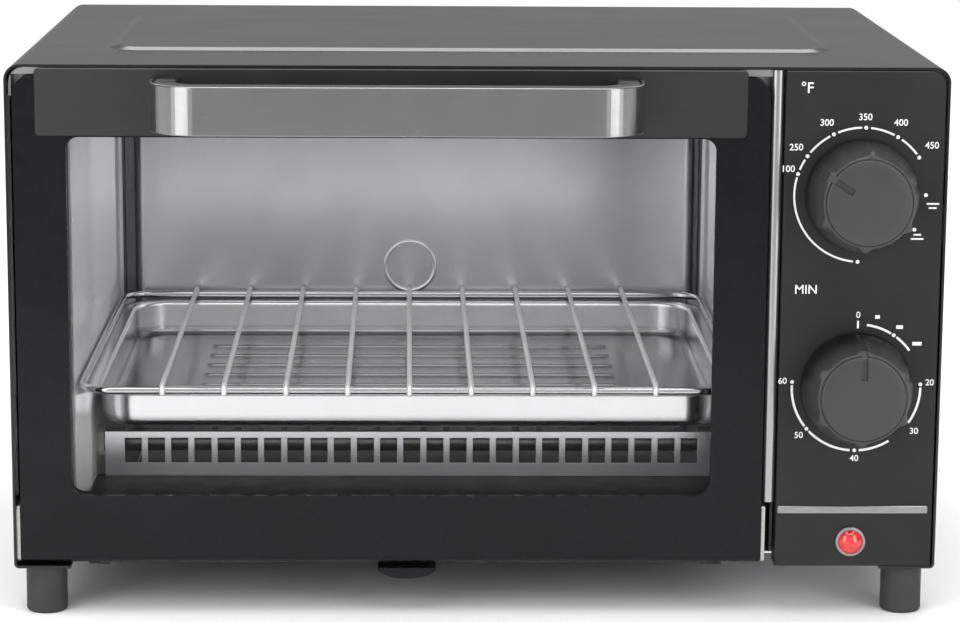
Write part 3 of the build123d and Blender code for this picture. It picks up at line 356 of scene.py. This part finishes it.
SLOT_MATERIALS = {
    "black_paint": black_paint(),
    "galvanised": galvanised("galvanised", (0.66, 0.675, 0.69), (0.84, 0.85, 0.86), 0.28, 0.85),
    "sill_black": moulded("sill_black", (0.004, 0.004, 0.0045), 0.5, 0.8, 0.004, 0.06),
    "zinc": plated("zinc", (0.5, 0.5, 0.49), 0.4),
    "door_black": moulded("door_black", (0.0035, 0.0035, 0.0045), 0.28, 0.7, 0.002, 0.2),
    "glass": pane(),
    "door_plate": plated("door_plate", (0.056, 0.056, 0.057), 0.42, (12, 1, 1), 0.06, 0.001),
    "handle_black": moulded("handle_black", (0.012, 0.012, 0.0125), 0.4),
    "handle_silver": plated("handle_silver", (0.29, 0.29, 0.29), 0.26, (16, 16, 1), 0.06, 0.001),
    "panel_black": moulded("panel_black", (0.010, 0.010, 0.0105), 0.45, 0.6, 0.006, 0.3),
    "trim_silver": plated("trim_silver", (0.31, 0.31, 0.315), 0.35),
    "lens_red": red_lens(),
    "lamp": moulded("lamp", (0.8, 0.4, 0.25), 0.2),
    "knob_black": knob_plastic_painted_shade(),
    "shaft_steel": plated("shaft_steel", (0.6, 0.6, 0.6), 0.3),
    "chrome": chrome("chrome", (0.6, 0.6, 0.61), 0.1, 1.0),
    "pan_silver": pan_metal_painted_shade(),
    "tray_grey": plated("tray_grey", (0.05, 0.05, 0.05), 0.38, (14, 1, 1)),
    "ceramic": ceramic(),
    "heater": plated("heater", (0.32, 0.31, 0.3), 0.35, (1, 8, 8)),
    "foot_black": moulded("foot_black", (0.026, 0.026, 0.027), 0.6, 0.7, 0.02),
    "control_body": moulded("control_body", (0.35, 0.28, 0.18), 0.5),
    "brass": plated("brass", (0.75, 0.58, 0.3), 0.3),
}
PRINTED_WHITE = printed_white()
SATIN_WIRE = chrome("satin_wire", (0.93, 0.93, 0.93), 0.3, 0.6)
# painted light: a brighter, more diffuse copy of the liner metal that lights up the side walls
SIDE_SHEET_PAINTED_LIGHT = galvanised("side_sheet", (0.94, 0.945, 0.95), (0.97, 0.97, 0.98), 0.24, 0.45)
# back panel's sheet, with painted shade: darker towards its top between 118 and 205 mm
BACK_SHEET_PAINTED_SHADE = galvanised("back_sheet", (0.24, 0.25, 0.26), (0.84, 0.85, 0.86), 0.24, 0.85, (118, 205))
FRAME_STEEL = galvanised("frame_steel", (0.34, 0.34, 0.345), (0.38, 0.38, 0.385), 0.3, 0.9)
# painted shade: a dark sheet laid in the gutters beside the back panel
GUTTER_PAINTED_SHADE = plated("gutter_painted_shade", (0.17, 0.17, 0.175), 0.4, (1, 1, 10), 0.2)
OWN_FINISH = {"front_frame": FRAME_STEEL}
NODE_SLOT = {row["node"]: row["material_slot"] for row in frame["record"]["subparts"]}
NODE_BODY = {n: body for body, names in frame["record"]["behaviour"]["bodies"].items() for n in names}

for node_name, obj in nodes.items():
    obj.data.materials.clear()
    obj.data.materials.append(SLOT_MATERIALS[NODE_SLOT[node_name]])

# =====================================================================================
# Mesh helpers
# =====================================================================================


def new_piece(name, mesh, node_name, material=None, smooth=35):
    """Links a mesh as a piece that rides on node_name's body and takes its slot's finish."""
    obj = bpy.data.objects.new(name, mesh)
    bpy.context.collection.objects.link(obj)
    if not mesh.materials:
        mesh.materials.append(material or SLOT_MATERIALS[NODE_SLOT[node_name]])
    if smooth:
        mesh.polygons.foreach_set("use_smooth", [True] * len(mesh.polygons))
        mesh.set_sharp_from_angle(angle=radians(smooth))
    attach(obj, NODE_BODY[node_name])
    return obj


def from_bmesh(bm, name):
    bmesh.ops.recalc_face_normals(bm, faces=bm.faces)
    mesh = bpy.data.meshes.new(name)
    bm.to_mesh(mesh)
    bm.free()
    return mesh


BEVEL_SEGMENTS, BEVEL_FROM_DEG = 3, 38
ROOF_CREASE_DEG, ROOF_FACES_UP = 6, 0.9
ROOF_MARGIN, ROOF_ROUND = 14 * MM, 1.3 * MM


def round_roof(bm):
    """Rounds the foot and the brow of the roof's raised panel."""
    low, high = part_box("outer_wrap")
    bm.normal_update()
    edges = [e for e in bm.edges if len(e.link_faces) == 2 and e.calc_face_angle() > radians(ROOF_CREASE_DEG)
             and all(f.normal.z > ROOF_FACES_UP for f in e.link_faces)
             and all(low.x + ROOF_MARGIN < v.co.x < high.x - ROOF_MARGIN for v in e.verts)]
    bmesh.ops.bevel(bm, geom=edges, offset=ROOF_ROUND, offset_type="OFFSET", segments=BEVEL_SEGMENTS,
                    profile=0.5, affect="EDGES", clamp_overlap=True)


def soften(node_name, radius_mm):
    """Replaces a CAD node by the same shape with its edges rounded."""
    bm = bmesh.new()
    bm.from_mesh(nodes[node_name].data)
    bmesh.ops.remove_doubles(bm, verts=bm.verts, dist=1e-6)
    if node_name == "outer_wrap":
        round_roof(bm)
    mesh = from_bmesh(bm, node_name + "_soft")
    mesh.materials.append(OWN_FINISH.get(node_name) or SLOT_MATERIALS[NODE_SLOT[node_name]])
    obj = new_piece(node_name + "_soft", mesh, node_name)
    bevel = obj.modifiers.new("edges", "BEVEL")
    bevel.width, bevel.segments = radius_mm * MM, BEVEL_SEGMENTS
    bevel.limit_method, bevel.angle_limit = "ANGLE", radians(BEVEL_FROM_DEG)
    bevel.miter_outer = "MITER_ARC"
    obj.modifiers.new("flat_faces", "WEIGHTED_NORMAL").keep_sharp = True
    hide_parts(node_name)


def ring_grid(rows):
    """bmesh from rows of points, each row a closed ring of the same length."""
    bm = bmesh.new()
    verts = [[bm.verts.new(p) for p in row] for row in rows]
    count = len(rows[0])
    for a, b in zip(verts, verts[1:]):
        for i in range(count):
            j = (i + 1) % count
            bm.faces.new((a[i], a[j], b[j], b[i]))
    return bm, verts


EDGES = {
    "outer_wrap": 0.45, "front_frame": 0.3, "front_sill": 0.3, "door_frame": 0.9, "door_plate": 0.25,
    "handle_core": 1.3, "handle_cover": 0.5, "control_panel": 0.8, "panel_trim_strip": 0.2,
    "heater_guard": 0.2, "door_retainer": 0.3, "crumb_tray": 0.3,
    "crumb_tray_pull": 0.4, "rear_panel": 0.3, "cord_gland": 0.5, "rear_spacers": 0.8, "base_plate": 0.25,
    "indicator_bezel": 0.2, "tray_rails": 0.25, "hinge_brackets": 0.3, "door_glass": 0.25,
}
for edge_node, edge_radius in EDGES.items():
    soften(edge_node, edge_radius)

# =====================================================================================
# Liners: sheets with pressed relief
# =====================================================================================

SHEET = 0.8 * MM


def bend(points, radii, steps=6):
    """2-D path through points, each inner corner rounded to its radius."""
    path = [Vector(points[0])]
    for before, corner, after, r in zip(points, points[1:], points[2:], radii):
        before, corner, after = Vector(before), Vector(corner), Vector(after)
        to_a, to_b = (before - corner).normalized(), (after - corner).normalized()
        half = to_a.angle(to_b) / 2
        reach = r / abs(sin(half) / cos(half))
        centre = corner + (to_a + to_b).normalized() * (r / sin(half))
        start, end = corner + to_a * reach - centre, corner + to_b * reach - centre
        turn = start.angle_signed(end)
        for k in range(steps + 1):
            a = -turn * k / steps
            turned = (start.x * cos(a) - start.y * sin(a), start.x * sin(a) + start.y * cos(a))
            path.append(centre + Vector(turned))
    path.append(Vector(points[-1]))
    return path


def sheet_solid(grid, thick):
    """Closed sheet from a grid of points, thickened along its normals away from the seen side."""
    rows, cols = len(grid), len(grid[0])
    bm = bmesh.new()
    seen = [[bm.verts.new(p) for p in row] for row in grid]
    for a, b in zip(seen, seen[1:]):
        for i in range(cols - 1):
            bm.faces.new((a[i], a[i + 1], b[i + 1], b[i]))
    bm.normal_update()
    hidden = [[bm.verts.new(v.co - v.normal * thick) for v in row] for row in seen]
    for a, b in zip(hidden, hidden[1:]):
        for i in range(cols - 1):
            bm.faces.new((a[i], b[i], b[i + 1], a[i + 1]))
    edge = ([(r, 0) for r in range(rows)] + [(rows - 1, c) for c in range(1, cols)]
            + [(r, cols - 1) for r in range(rows - 2, -1, -1)] + [(0, c) for c in range(cols - 2, 0, -1)])
    for (r0, c0), (r1, c1) in zip(edge, edge[1:] + edge[:1]):
        bm.faces.new((seen[r0][c0], hidden[r0][c0], hidden[r1][c1], seen[r1][c1]))
    return bm


def ease(x, start, end):
    t = min(1.0, max(0.0, (x - start) / (end - start)))
    return t * t * (3 - 2 * t)


# inner edge of the wall by height: (reach into the cavity, height), with the ledge for pan and rack
LOW_STEP = 5.4
LEDGE_TOP = 83.3
LEDGE = [(x, LEDGE_TOP + dz) for x, dz in (
    (5.5, -8), (5.7, -5.5), (6.0, -2.4), (6.2, -0.7), (6.0, -0.2), (5.4, 0), (2.6, 0), (1.0, 0.05),
    (0.45, 0.3), (0.1, 0.8), (0, 1.8))]
WALL_Z = [(LOW_STEP, z) for z in (21.2, 30, 40, 50, 60, 66, 71)] + LEDGE
WALL_Z += [(0, z) for z in range(88, 201, 8)]
BAND = (104.0, 160.0, 167.0)            # pressed band: rises slowly, then falls, between these depths
BAND_RISE = 4.2
THROAT = (20.0, 31.0)                   # the ledge and the lower wall run in between these depths
BEAD, BEAD_RISE = (221.5, 226.0), 1.3   # upright bead at the rear
SWELL, SWELL_START, SWELL_LENGTH = 1.1, 22, 80
DISH, DISH_DEPTH, DISH_SPREAD = 0.8, 196, 12
COLUMN_COUNT, COLUMN_STEP = 158, 1.3
LINER_SMOOTH = 40


def wall_relief(depth, z):
    """How far the wall stands into the cavity, beside its ledge."""
    share = ease(z, 92, 104)
    slope = min(1.0, max(0.0, (depth - BAND[0]) / (BAND[1] - BAND[0])))
    rise = slope * (1 - ease(depth, BAND[1], BAND[2])) * BAND_RISE
    swell = SWELL * sin(pi * min(1.0, max(0.0, (depth - SWELL_START) / SWELL_LENGTH))) ** 2
    dish = -DISH * exp(-((depth - DISH_DEPTH) / DISH_SPREAD) ** 2)
    bead_mid, bead_half = sum(BEAD) / 2, (BEAD[1] - BEAD[0]) / 2
    bead = BEAD_RISE * max(0.0, 1 - ((depth - bead_mid) / bead_half) ** 2) ** 0.5
    return share * (rise + swell + dish) + bead * ease(z, 86, 91)


def make_side_liner(node_name, inward):
    low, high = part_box(node_name)
    wall_x = (low.x + SHEET if inward > 0 else high.x - SHEET) / MM
    start = (low.y - FRONT_Y) / MM + 0.05
    depths = [start + k * COLUMN_STEP for k in range(COLUMN_COUNT)] + [(high.y - FRONT_Y) / MM]
    grid = []
    for reach, z in WALL_Z:
        row = []
        for depth in depths:
            run_in = ease(depth, *THROAT)
            row.append(at(wall_x + inward * (reach * run_in + wall_relief(depth, z)), depth, z))
        grid.append(row if inward > 0 else row[::-1])
    name = node_name + "_pressed"
    piece = new_piece(name, from_bmesh(sheet_solid(grid, SHEET), name), node_name, SIDE_SHEET_PAINTED_LIGHT, LINER_SMOOTH)
    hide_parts(node_name)


make_side_liner("left_liner", 1)
make_side_liner("right_liner", -1)


BACK_DEPTHS = (226.0, 228.0, 234.6)     # front flanges, raised panel, gutter floors
BACK_PANEL = (-148.5, 101.2)            # left and right edges of the raised panel
BACK_RUN, BACK_BROW, BACK_CORNER = 2.6, 3.2, 1.5
RING_X, RING_Z, RING_R, RING_HALF_W, RING_H = -25.8, 98.3, 11.3, 1.0, 1.0
RING_STEPS, RING_LOOPS = 72, 9


def make_back_liner():
    low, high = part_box("back_liner")
    x0, x1 = low.x / MM + 0.8, high.x / MM - 0.8
    z0, z1 = low.z / MM, high.z / MM
    front, face, floor = BACK_DEPTHS
    left, right = BACK_PANEL
    points = [(x0, front), (x0, floor), (left - BACK_RUN, floor), (left, face), (right, face),
              (right + BACK_RUN, floor), (x1, floor), (x1, front)]
    path = bend(points, (BACK_CORNER, BACK_CORNER, BACK_BROW, BACK_BROW, BACK_CORNER, BACK_CORNER))
    grid = [[at(p.x, p.y, z0 + (z1 - z0) * k / 12) for p in path] for k in range(13)]
    bm = sheet_solid(grid, SHEET)

    # raised ring, half round
    loops = []
    for k in range(RING_LOOPS):
        a = pi * k / (RING_LOOPS - 1)
        radius, stand = RING_R - RING_HALF_W * cos(a), RING_H * sin(a) - 0.05
        loops.append([at(RING_X + radius * sin(tau * i / RING_STEPS), face - stand,
                         RING_Z + radius * cos(tau * i / RING_STEPS)) for i in range(RING_STEPS)])
    ring, verts = ring_grid(loops)
    for i in range(RING_STEPS):
        j = (i + 1) % RING_STEPS
        ring.faces.new((verts[0][i], verts[-1][i], verts[-1][j], verts[0][j]))
    ring_mesh = from_bmesh(ring, "ring")
    bm.from_mesh(ring_mesh)
    bpy.data.meshes.remove(ring_mesh)
    piece = new_piece("back_liner_pressed", from_bmesh(bm, "back_liner_pressed"), "back_liner", BACK_SHEET_PAINTED_SHADE,
                      LINER_SMOOTH)
    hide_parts("back_liner")


make_back_liner()


GUTTER_INNER = ((-151.4, -150.4), (103.0, 104.1))
GUTTER_DEPTHS = (231.5, 234.2, 234.2, 231.5)
GUTTER_SHEET = 0.3 * MM


def make_gutters():
    """Floors of the two gutters beside the back panel, as dark sheets that paint the shade in these recesses.
    """
    low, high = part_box("back_liner")
    z0, z1 = low.z / MM + 1, high.z / MM - 1
    left, right = low.x / MM + 1.2, high.x / MM - 1.2
    for name, xs in (("gutter_left", (left, left, *GUTTER_INNER[0])),
                     ("gutter_right", (*GUTTER_INNER[1], right, right))):
        path = bend(list(zip(xs, GUTTER_DEPTHS)), (1.0, 1.0))
        grid = [[at(p.x, p.y, z0 + (z1 - z0) * k / 8) for p in path] for k in range(9)]
        new_piece(name, from_bmesh(sheet_solid(grid, GUTTER_SHEET), name), "back_liner", GUTTER_PAINTED_SHADE,
                  LINER_SMOOTH)


make_gutters()

# =====================================================================================
# Baking pan
# =====================================================================================

PAN_CORNER = 24.0
RIB_ROWS, RIB_PITCH, RIB_DEPTH, RIB_X = 6, 20.2, 82.0, -25.8
RIB_LENGTH, RIB_WIDTH, RIB_RISE = 175.5, 5.2, 1.3
PAN_CORNER_STEPS = 12
PAN_FLAT, PAN_DROP = 6.2, 0.1           # inner edge of the flat rim, and how far it lies below the edge's top
PAN_LEAN, PAN_BROW_R, PAN_FOOT_R = 86, 1.8, 3.0
PAN_SHEET, PAN_WALL_RUN = 0.75, 0.45


def pan_loop(box, inset, z):
    """Rounded rectangle inset from the rim's outer edge, at height z (millimetres)."""
    x0, x1, d0, d1 = box[0] + inset, box[1] - inset, box[2] + inset, box[3] - inset
    r = max(PAN_CORNER - inset, 4.0)
    loop = []
    for cx, cd, start in ((x1 - r, d0 + r, -90), (x1 - r, d1 - r, 0), (x0 + r, d1 - r, 90),
                          (x0 + r, d0 + r, 180)):
        for k in range(PAN_CORNER_STEPS + 1):
            a = radians(start + 90 * k / PAN_CORNER_STEPS)
            loop.append(at(cx + r * cos(a), cd + r * sin(a), z))
    return loop


def capsule(bm, x, depth, z, length, width, rise):
    """Low rib with round ends, half sunk in the floor."""
    rings, around_steps = 5, 48
    verts = []
    for k in range(rings):
        t = pi / 2 * k / rings
        reach = width / 2 * cos(t)
        loop = []
        for i in range(around_steps):
            a = tau * i / around_steps
            shift = (length - width) / 2 * (1 if cos(a) >= 0 else -1)
            point = at(x + shift + reach * cos(a), depth + reach * sin(a), z + rise * sin(t))
            loop.append(bm.verts.new(point))
        verts.append(loop)
    for a, b in zip(verts, verts[1:]):
        for i in range(around_steps):
            j = (i + 1) % around_steps
            bm.faces.new((a[i], a[j], b[j], b[i]))
    bm.faces.new(verts[-1])
    bm.faces.new(verts[0][::-1])


def make_pan():
    low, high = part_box("baking_pan")
    box = (low.x / MM, high.x / MM, (low.y - FRONT_Y) / MM, (high.y - FRONT_Y) / MM)
    top, floor = high.z / MM, low.z / MM + 0.8
    # (inset, height) of the seen side, from the rolled edge over the rim and down to the floor
    profile = [(0.55, top - 0.75), (0.1, top - 0.5), (0.25, top - 0.12), (0.7, top), (3.0, top - PAN_DROP),
               (PAN_FLAT, top - PAN_DROP)]
    profile += [(PAN_FLAT + PAN_BROW_R * sin(radians(a)), top - PAN_DROP - PAN_BROW_R * (1 - cos(radians(a))))
                for a in (15, 30, 45, 60, 73, PAN_LEAN)]
    wall_end = (profile[-1][0] + PAN_WALL_RUN, floor + PAN_FOOT_R * (1 - cos(radians(PAN_LEAN))))
    profile.append(wall_end)
    profile += [(wall_end[0] + PAN_FOOT_R * (sin(radians(PAN_LEAN)) - sin(radians(a))),
                 floor + PAN_FOOT_R * (1 - cos(radians(a)))) for a in (72, 58, 44, 30, 16, 7, 0)]
    under = [(profile[0][0] + 0.3, profile[0][1] - 0.1)]
    for (i0, z0), (i1, z1) in zip(profile[3:], profile[4:]):
        n = Vector((z1 - z0, -(i1 - i0))).normalized()
        under.append(((i0 + i1) / 2 + n.x * PAN_SHEET, (z0 + z1) / 2 + n.y * PAN_SHEET))
    rows = [pan_loop(box, *p) for p in reversed(profile)] + [pan_loop(box, *p) for p in under]
    rows.append(pan_loop(box, profile[-1][0] + 1.5, floor - PAN_SHEET))
    bm, verts = ring_grid(rows)
    bm.faces.new(verts[0])
    bm.faces.new(verts[-1])
    for row in range(RIB_ROWS):
        capsule(bm, RIB_X, RIB_DEPTH + RIB_PITCH * row, floor - 0.02, RIB_LENGTH, RIB_WIDTH, RIB_RISE)
    piece = new_piece("baking_pan_pressed", from_bmesh(bm, "baking_pan_pressed"), "baking_pan", smooth=50)
    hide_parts("baking_pan")


make_pan()

# =====================================================================================
# Wire rack
# =====================================================================================


def tube(bm, centres, normals, binormal, radius, sides, closed=False):
    """Tube along points of one plane; normals lie in that plane, and binormal stands on it."""
    rings = []
    for c, n in zip(centres, normals):
        rings.append([bm.verts.new(c + (n * cos(tau * k / sides) + binormal * sin(tau * k / sides)) * radius)
                      for k in range(sides)])
    pairs = list(zip(rings, rings[1:])) + ([(rings[-1], rings[0])] if closed else [])
    for a, b in pairs:
        for k in range(sides):
            j = (k + 1) % sides
            bm.faces.new((a[k], a[j], b[j], b[k]))
    if closed:
        return
    for ring, centre, beside in ((rings[0], centres[0], centres[1]), (rings[-1], centres[-1], centres[-2])):
        out = (centre - beside).normalized() * radius
        last = ring
        for t in (30, 60):
            lap = [bm.verts.new(centre + (v.co - centre) * cos(radians(t)) + out * sin(radians(t)) * 0.7)
                   for v in ring]
            for k in range(sides):
                j = (k + 1) % sides
                bm.faces.new((last[k], last[j], lap[j], lap[k]))
            last = lap
        bm.faces.new(last)


def path_normals(path, closed):
    """Normals in the path's own plane, to the left of its run."""
    made = []
    for i, p in enumerate(path):
        before = path[i - 1] if i or closed else p
        after = path[(i + 1) % len(path)] if i + 1 < len(path) or closed else p
        run = (after - before).normalized()
        made.append(Vector((-run.y, run.x)))
    return made


RACK_WIRE_R, CROSS_R = 1.9, 1.3         # radii in the CAD part, which place the wires
RAIL_LOOK, CROSS_LOOK = 1.55, 1.08      # radii shown
RACK_BEND = 12.0
CROSS_COUNT, CROSS_PITCH, CROSS_X0 = 9, 24.2, -122.9


def make_rack():
    low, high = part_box("wire_rack")
    z = (low.z / MM, high.z / MM)
    rail_z = z[1] - 2 * CROSS_R + 0.5 - RACK_WIRE_R
    x0, x1 = low.x / MM + RACK_WIRE_R, high.x / MM - RACK_WIRE_R
    d0 = (low.y - FRONT_Y) / MM + 2 * CROSS_R - 0.5 + RACK_WIRE_R
    d1 = (high.y - FRONT_Y) / MM - 1.0 - RACK_WIRE_R
    bm = bmesh.new()
    mid = ((x0 + x1) / 2, d0)
    loop = bend([mid, (x1, d0), (x1, d1), (x0, d1), (x0, d0), mid], (RACK_BEND,) * 4, 10)[:-1]
    normals = [Vector((n.x, n.y, 0)) for n in path_normals(loop, True)]
    centres = [at(p.x, p.y, rail_z) for p in loop]
    tube(bm, centres, normals, Vector((0, 0, 1)), RAIL_LOOK * MM, 18, closed=True)
    rails = new_piece("rack_rails", from_bmesh(bm, "rack_rails"), "wire_rack", smooth=60)
    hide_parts("wire_rack")

    bm = bmesh.new()
    cross_z = rail_z + RAIL_LOOK + CROSS_LOOK - 0.4
    front, back = d0 - RAIL_LOOK - CROSS_LOOK + 0.4, d1 + RAIL_LOOK + 0.3
    side = bend([(front, rail_z - 1.2), (front, cross_z), (back, cross_z)], (2.2,), 6)
    normals = [Vector((0, n.x, n.y)) for n in path_normals(side, False)]
    for i in range(CROSS_COUNT):
        x = CROSS_X0 + CROSS_PITCH * i
        tube(bm, [at(x, p.x, p.y) for p in side], normals, Vector((1, 0, 0)), CROSS_LOOK * MM, 12)
    wires = new_piece("rack_wires", from_bmesh(bm, "rack_wires"), "wire_rack", SATIN_WIRE, smooth=60)
    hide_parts("wire_rack")


make_rack()

# =====================================================================================
# Knobs
# =====================================================================================

KNOB_STEPS = 180
KNOB_CORNERS = 6
CAP_SHARE = 0.805                       # cap radius over foot radius
# seen face from the cap's edge inward: (inset, rise), with a fine groove round the face
KNOB_CAP = ((0.1, 0.2), (0.5, 0.52), (0.85, 0.55), (0.95, 0.3), (1.15, 0.3), (1.25, 0.9), (1.5, 1.2),
            (2.1, 1.36), (5.0, 1.5), (8.0, 1.58), (12.0, 1.64))
GROOVE_HALF_W = 1.25 * MM


def knob_radius(foot_r, cap_r, share, angle):
    """Radius at a share of the way from foot to cap: round at the foot, six peaks near the cap."""
    plain = foot_r + (cap_r - foot_r) * share ** 1.15
    peak = max(0.0, cos(KNOB_CORNERS * angle)) ** 5
    return plain + peak * 2.1 * MM * (share ** 1.5) * (1 if share < 0.97 else 0.55)


def make_knob(node_name, pointer_deg):
    low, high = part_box(node_name)
    centre = (low + high) / 2
    foot_r, depth = (high.x - low.x) / 2 - 0.1 * MM, high.y - low.y
    cap_r = foot_r * CAP_SHARE
    rows = []

    def row(radius_of, y):
        rows.append([Vector((centre.x + radius_of(tau * i / KNOB_STEPS) * sin(tau * i / KNOB_STEPS), y,
                             centre.z + radius_of(tau * i / KNOB_STEPS) * cos(tau * i / KNOB_STEPS)))
                     for i in range(KNOB_STEPS)])

    row(lambda a: foot_r - 1.6 * MM, high.y)
    row(lambda a: foot_r - 0.3 * MM, high.y)
    row(lambda a: foot_r, high.y - 0.4 * MM)
    skirt_end = low.y + 1.7 * MM
    for k in range(1, 15):
        share = k / 14
        y = high.y - 1.6 * MM + (skirt_end - high.y + 1.6 * MM) * share
        row(lambda a, s=share: knob_radius(foot_r, cap_r, s, a), y)
    for inset, rise in KNOB_CAP:
        row(lambda a, r=cap_r - inset * MM: r, skirt_end - rise * MM)
    bm, verts = ring_grid(rows)
    bm.faces.new(verts[-1])
    bm.faces.new(verts[0])
    mesh = from_bmesh(bm, node_name + "_fine")
    knob = new_piece(node_name + "_fine", mesh, node_name, smooth=50)

    # pointer groove: across the cap from near its middle, then down the ridge until it runs out
    outline = [(cap_r * 0.42, low.y - 2 * MM), (cap_r * 0.42, low.y + 1.0 * MM),
               (cap_r - 2.4 * MM, low.y + 1.5 * MM), (cap_r + 0.6 * MM, low.y + 3.6 * MM),
               (foot_r * 0.972, low.y + 12.5 * MM), (foot_r * 1.3, low.y + 12.5 * MM),
               (foot_r * 1.3, low.y - 2 * MM)]
    cutter = bmesh.new()
    sides = [[cutter.verts.new((centre.x + side * GROOVE_HALF_W, y, centre.z + r)) for r, y in outline]
             for side in (-1, 1)]
    cutter.faces.new(sides[0])
    cutter.faces.new(sides[1][::-1])
    for i in range(len(outline)):
        j = (i + 1) % len(outline)
        cutter.faces.new((sides[0][i], sides[1][i], sides[1][j], sides[0][j]))
    cut_mesh = from_bmesh(cutter, "cut")
    cut = bpy.data.objects.new("cut", cut_mesh)
    bpy.context.collection.objects.link(cut)
    boolean = knob.modifiers.new("groove", "BOOLEAN")
    boolean.operation, boolean.solver, boolean.object = "DIFFERENCE", "EXACT", cut
    bpy.context.view_layer.update()
    cut_result = bpy.data.meshes.new_from_object(knob.evaluated_get(bpy.context.evaluated_depsgraph_get()))
    knob.modifiers.clear()
    knob.data = cut_result
    bpy.data.objects.remove(cut)
    pivot, turn = Matrix.Translation(centre), Matrix.Rotation(radians(pointer_deg), 4, "Y")
    knob.data.transform(pivot @ turn @ pivot.inverted())
    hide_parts(node_name)


TEMP_POINTER, TIMER_POINTER = -57.0, 0.0
make_knob("temp_knob", TEMP_POINTER)
make_knob("timer_knob", TIMER_POINTER)

# =====================================================================================
# Dial marks, printed on the control panel
# =====================================================================================

INK_T = 0.06 * MM
TEXT_SCALE, TEXT_SWELL = 1.38, 0.035 * MM     # curve size for a height of capitals, and stroke swell
PANEL_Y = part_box("control_panel")[0].y
TEMP_TEXT, TIMER_TEXT = 2.6, 2.5
TEMP_ARC_R, TIMER_ARC_R = 26.0, 25.0
ink = bmesh.new()


def dial_point(centre, angle_deg, radius_mm):
    """Point on a dial, at an angle clockwise from up."""
    a = radians(angle_deg)
    return Vector((centre.x + radius_mm * MM * sin(a), PANEL_Y - INK_T, centre.z + radius_mm * MM * cos(a)))


def ink_face(outline):
    """Thin printed solid from its outline on the panel."""
    front = [ink.verts.new(p) for p in outline]
    back = [ink.verts.new(p + Vector((0, 1.5 * INK_T, 0))) for p in outline]
    ink.faces.new(front)
    ink.faces.new(back[::-1])
    for i in range(len(front)):
        j = (i + 1) % len(front)
        ink.faces.new((front[i], back[i], back[j], front[j]))


def ink_arc(centre, start, end, radius, width=0.75):
    steps = max(2, int(abs(end - start) / 3))
    angles = [start + (end - start) * i / steps for i in range(steps + 1)]
    for a, b in zip(angles, angles[1:]):
        ink_face([dial_point(centre, a, radius - width / 2), dial_point(centre, a, radius + width / 2),
                  dial_point(centre, b, radius + width / 2), dial_point(centre, b, radius - width / 2)])


def ink_dot(centre, angle, radius, size=0.75):
    mid = dial_point(centre, angle, radius)
    ink_face([mid + Vector((size * MM * sin(tau * i / 16), 0, size * MM * cos(tau * i / 16)))
              for i in range(16)])


def ink_text(words, x_mm, z_mm, height_mm):
    curve = bpy.data.curves.new("ink_text", "FONT")
    curve.body, curve.size = words, height_mm * MM * TEXT_SCALE
    curve.align_x = curve.align_y = "CENTER"
    curve.extrude, curve.offset = INK_T / 2, TEXT_SWELL
    holder = bpy.data.objects.new("ink_text", curve)
    bpy.context.collection.objects.link(holder)
    bpy.context.view_layer.update()
    flat = bpy.data.meshes.new_from_object(holder.evaluated_get(bpy.context.evaluated_depsgraph_get()))
    place = Matrix.Translation(Vector((x_mm * MM, PANEL_Y - INK_T / 2, z_mm * MM)))
    flat.transform(place @ Matrix.Rotation(pi / 2, 4, "X"))
    ink.from_mesh(flat)
    bpy.data.objects.remove(holder)


def centre_of(node_name):
    low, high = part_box(node_name)
    return (low + high) / 2


def around(centre, angle, radius):
    p = dial_point(centre, angle, radius)
    return p.x / MM, p.z / MM


def print_temperature_dial():
    c = centre_of("temp_knob")
    r = TEMP_ARC_R
    stops = (-72, -55, -26, 2, 30.5, 56)
    ink_arc(c, -174, stops[0] - 3, r)
    for a, b in zip(stops, stops[1:]):
        ink_arc(c, a + 4, b - 3.5, r)
    for a in (-178, *stops):
        ink_dot(c, a, r)
    for a in (90, 123):
        ink_dot(c, a, 24.6)
    for words, angle, radius in (("100", -70.8, 30.3), ("250", -54.5, 31.5), ("300", -27, 31.2),
                                 ("350", 1, 30.0), ("400", 27, 31.3), ("450", 54, 32.6)):
        x, z = around(c, angle, radius)
        ink_text(words, x, z, TEMP_TEXT)
    # bake and broil: a food tray with heat below it, or above it
    for angle, heat in ((97, -1.6), (128, 1.6)):
        x, z = around(c, angle, 27.6)
        for dz, half in ((0, 2.4), (heat, 1.5)):
            ink_face([Vector(((x + sx * half) * MM, PANEL_Y - INK_T, (z + dz + sz * 0.33) * MM))
                      for sx, sz in ((-1, -1), (1, -1), (1, 1), (-1, 1))])


def print_timer_dial():
    c = centre_of("timer_knob")
    r = TIMER_ARC_R
    ink_face([dial_point(c, 0, r + s) + Vector((w * MM, 0, 0))
              for s, w in ((-1.6, -0.4), (1.4, -0.4), (1.4, 0.4), (-1.6, 0.4))])
    for a, b in ((8, 31), (37, 54), (90, 124), (148, 176), (184, 226), (232, 272)):
        ink_arc(c, a, b, r, 0.9)
    for a in (34, 87, 180, 229, 275):
        ink_dot(c, a, r)
    for words, angle, radius in (("0", 0, 28.6), ("20", 86, 28.6), ("30", 127, 28.8), ("40", 180, 28.2),
                                 ("50", 229, 29.0), ("60", 275, 28.8)):
        x, z = around(c, angle, radius)
        ink_text(words, x, z, TIMER_TEXT)
    # three shades of toast, as bars that grow
    for angle, size in ((15, 0.9), (34, 1.3), (53, 1.8)):
        x, z = around(c, angle, 28.9)
        ink_face([Vector(((x + sx * size) * MM, PANEL_Y - INK_T, (z + sz * 0.7) * MM))
                  for sx, sz in ((-1, -1), (1, -1), (1, 1), (-1, 1))])


print_temperature_dial()
print_timer_dial()
ink_text("°F", 125.0, 208.3, 4.2)
ink_text("MIN", 126.5, 130.3, 3.6)
new_piece("dial_print", from_bmesh(ink, "dial_print"), "control_panel", PRINTED_WHITE, smooth=0)
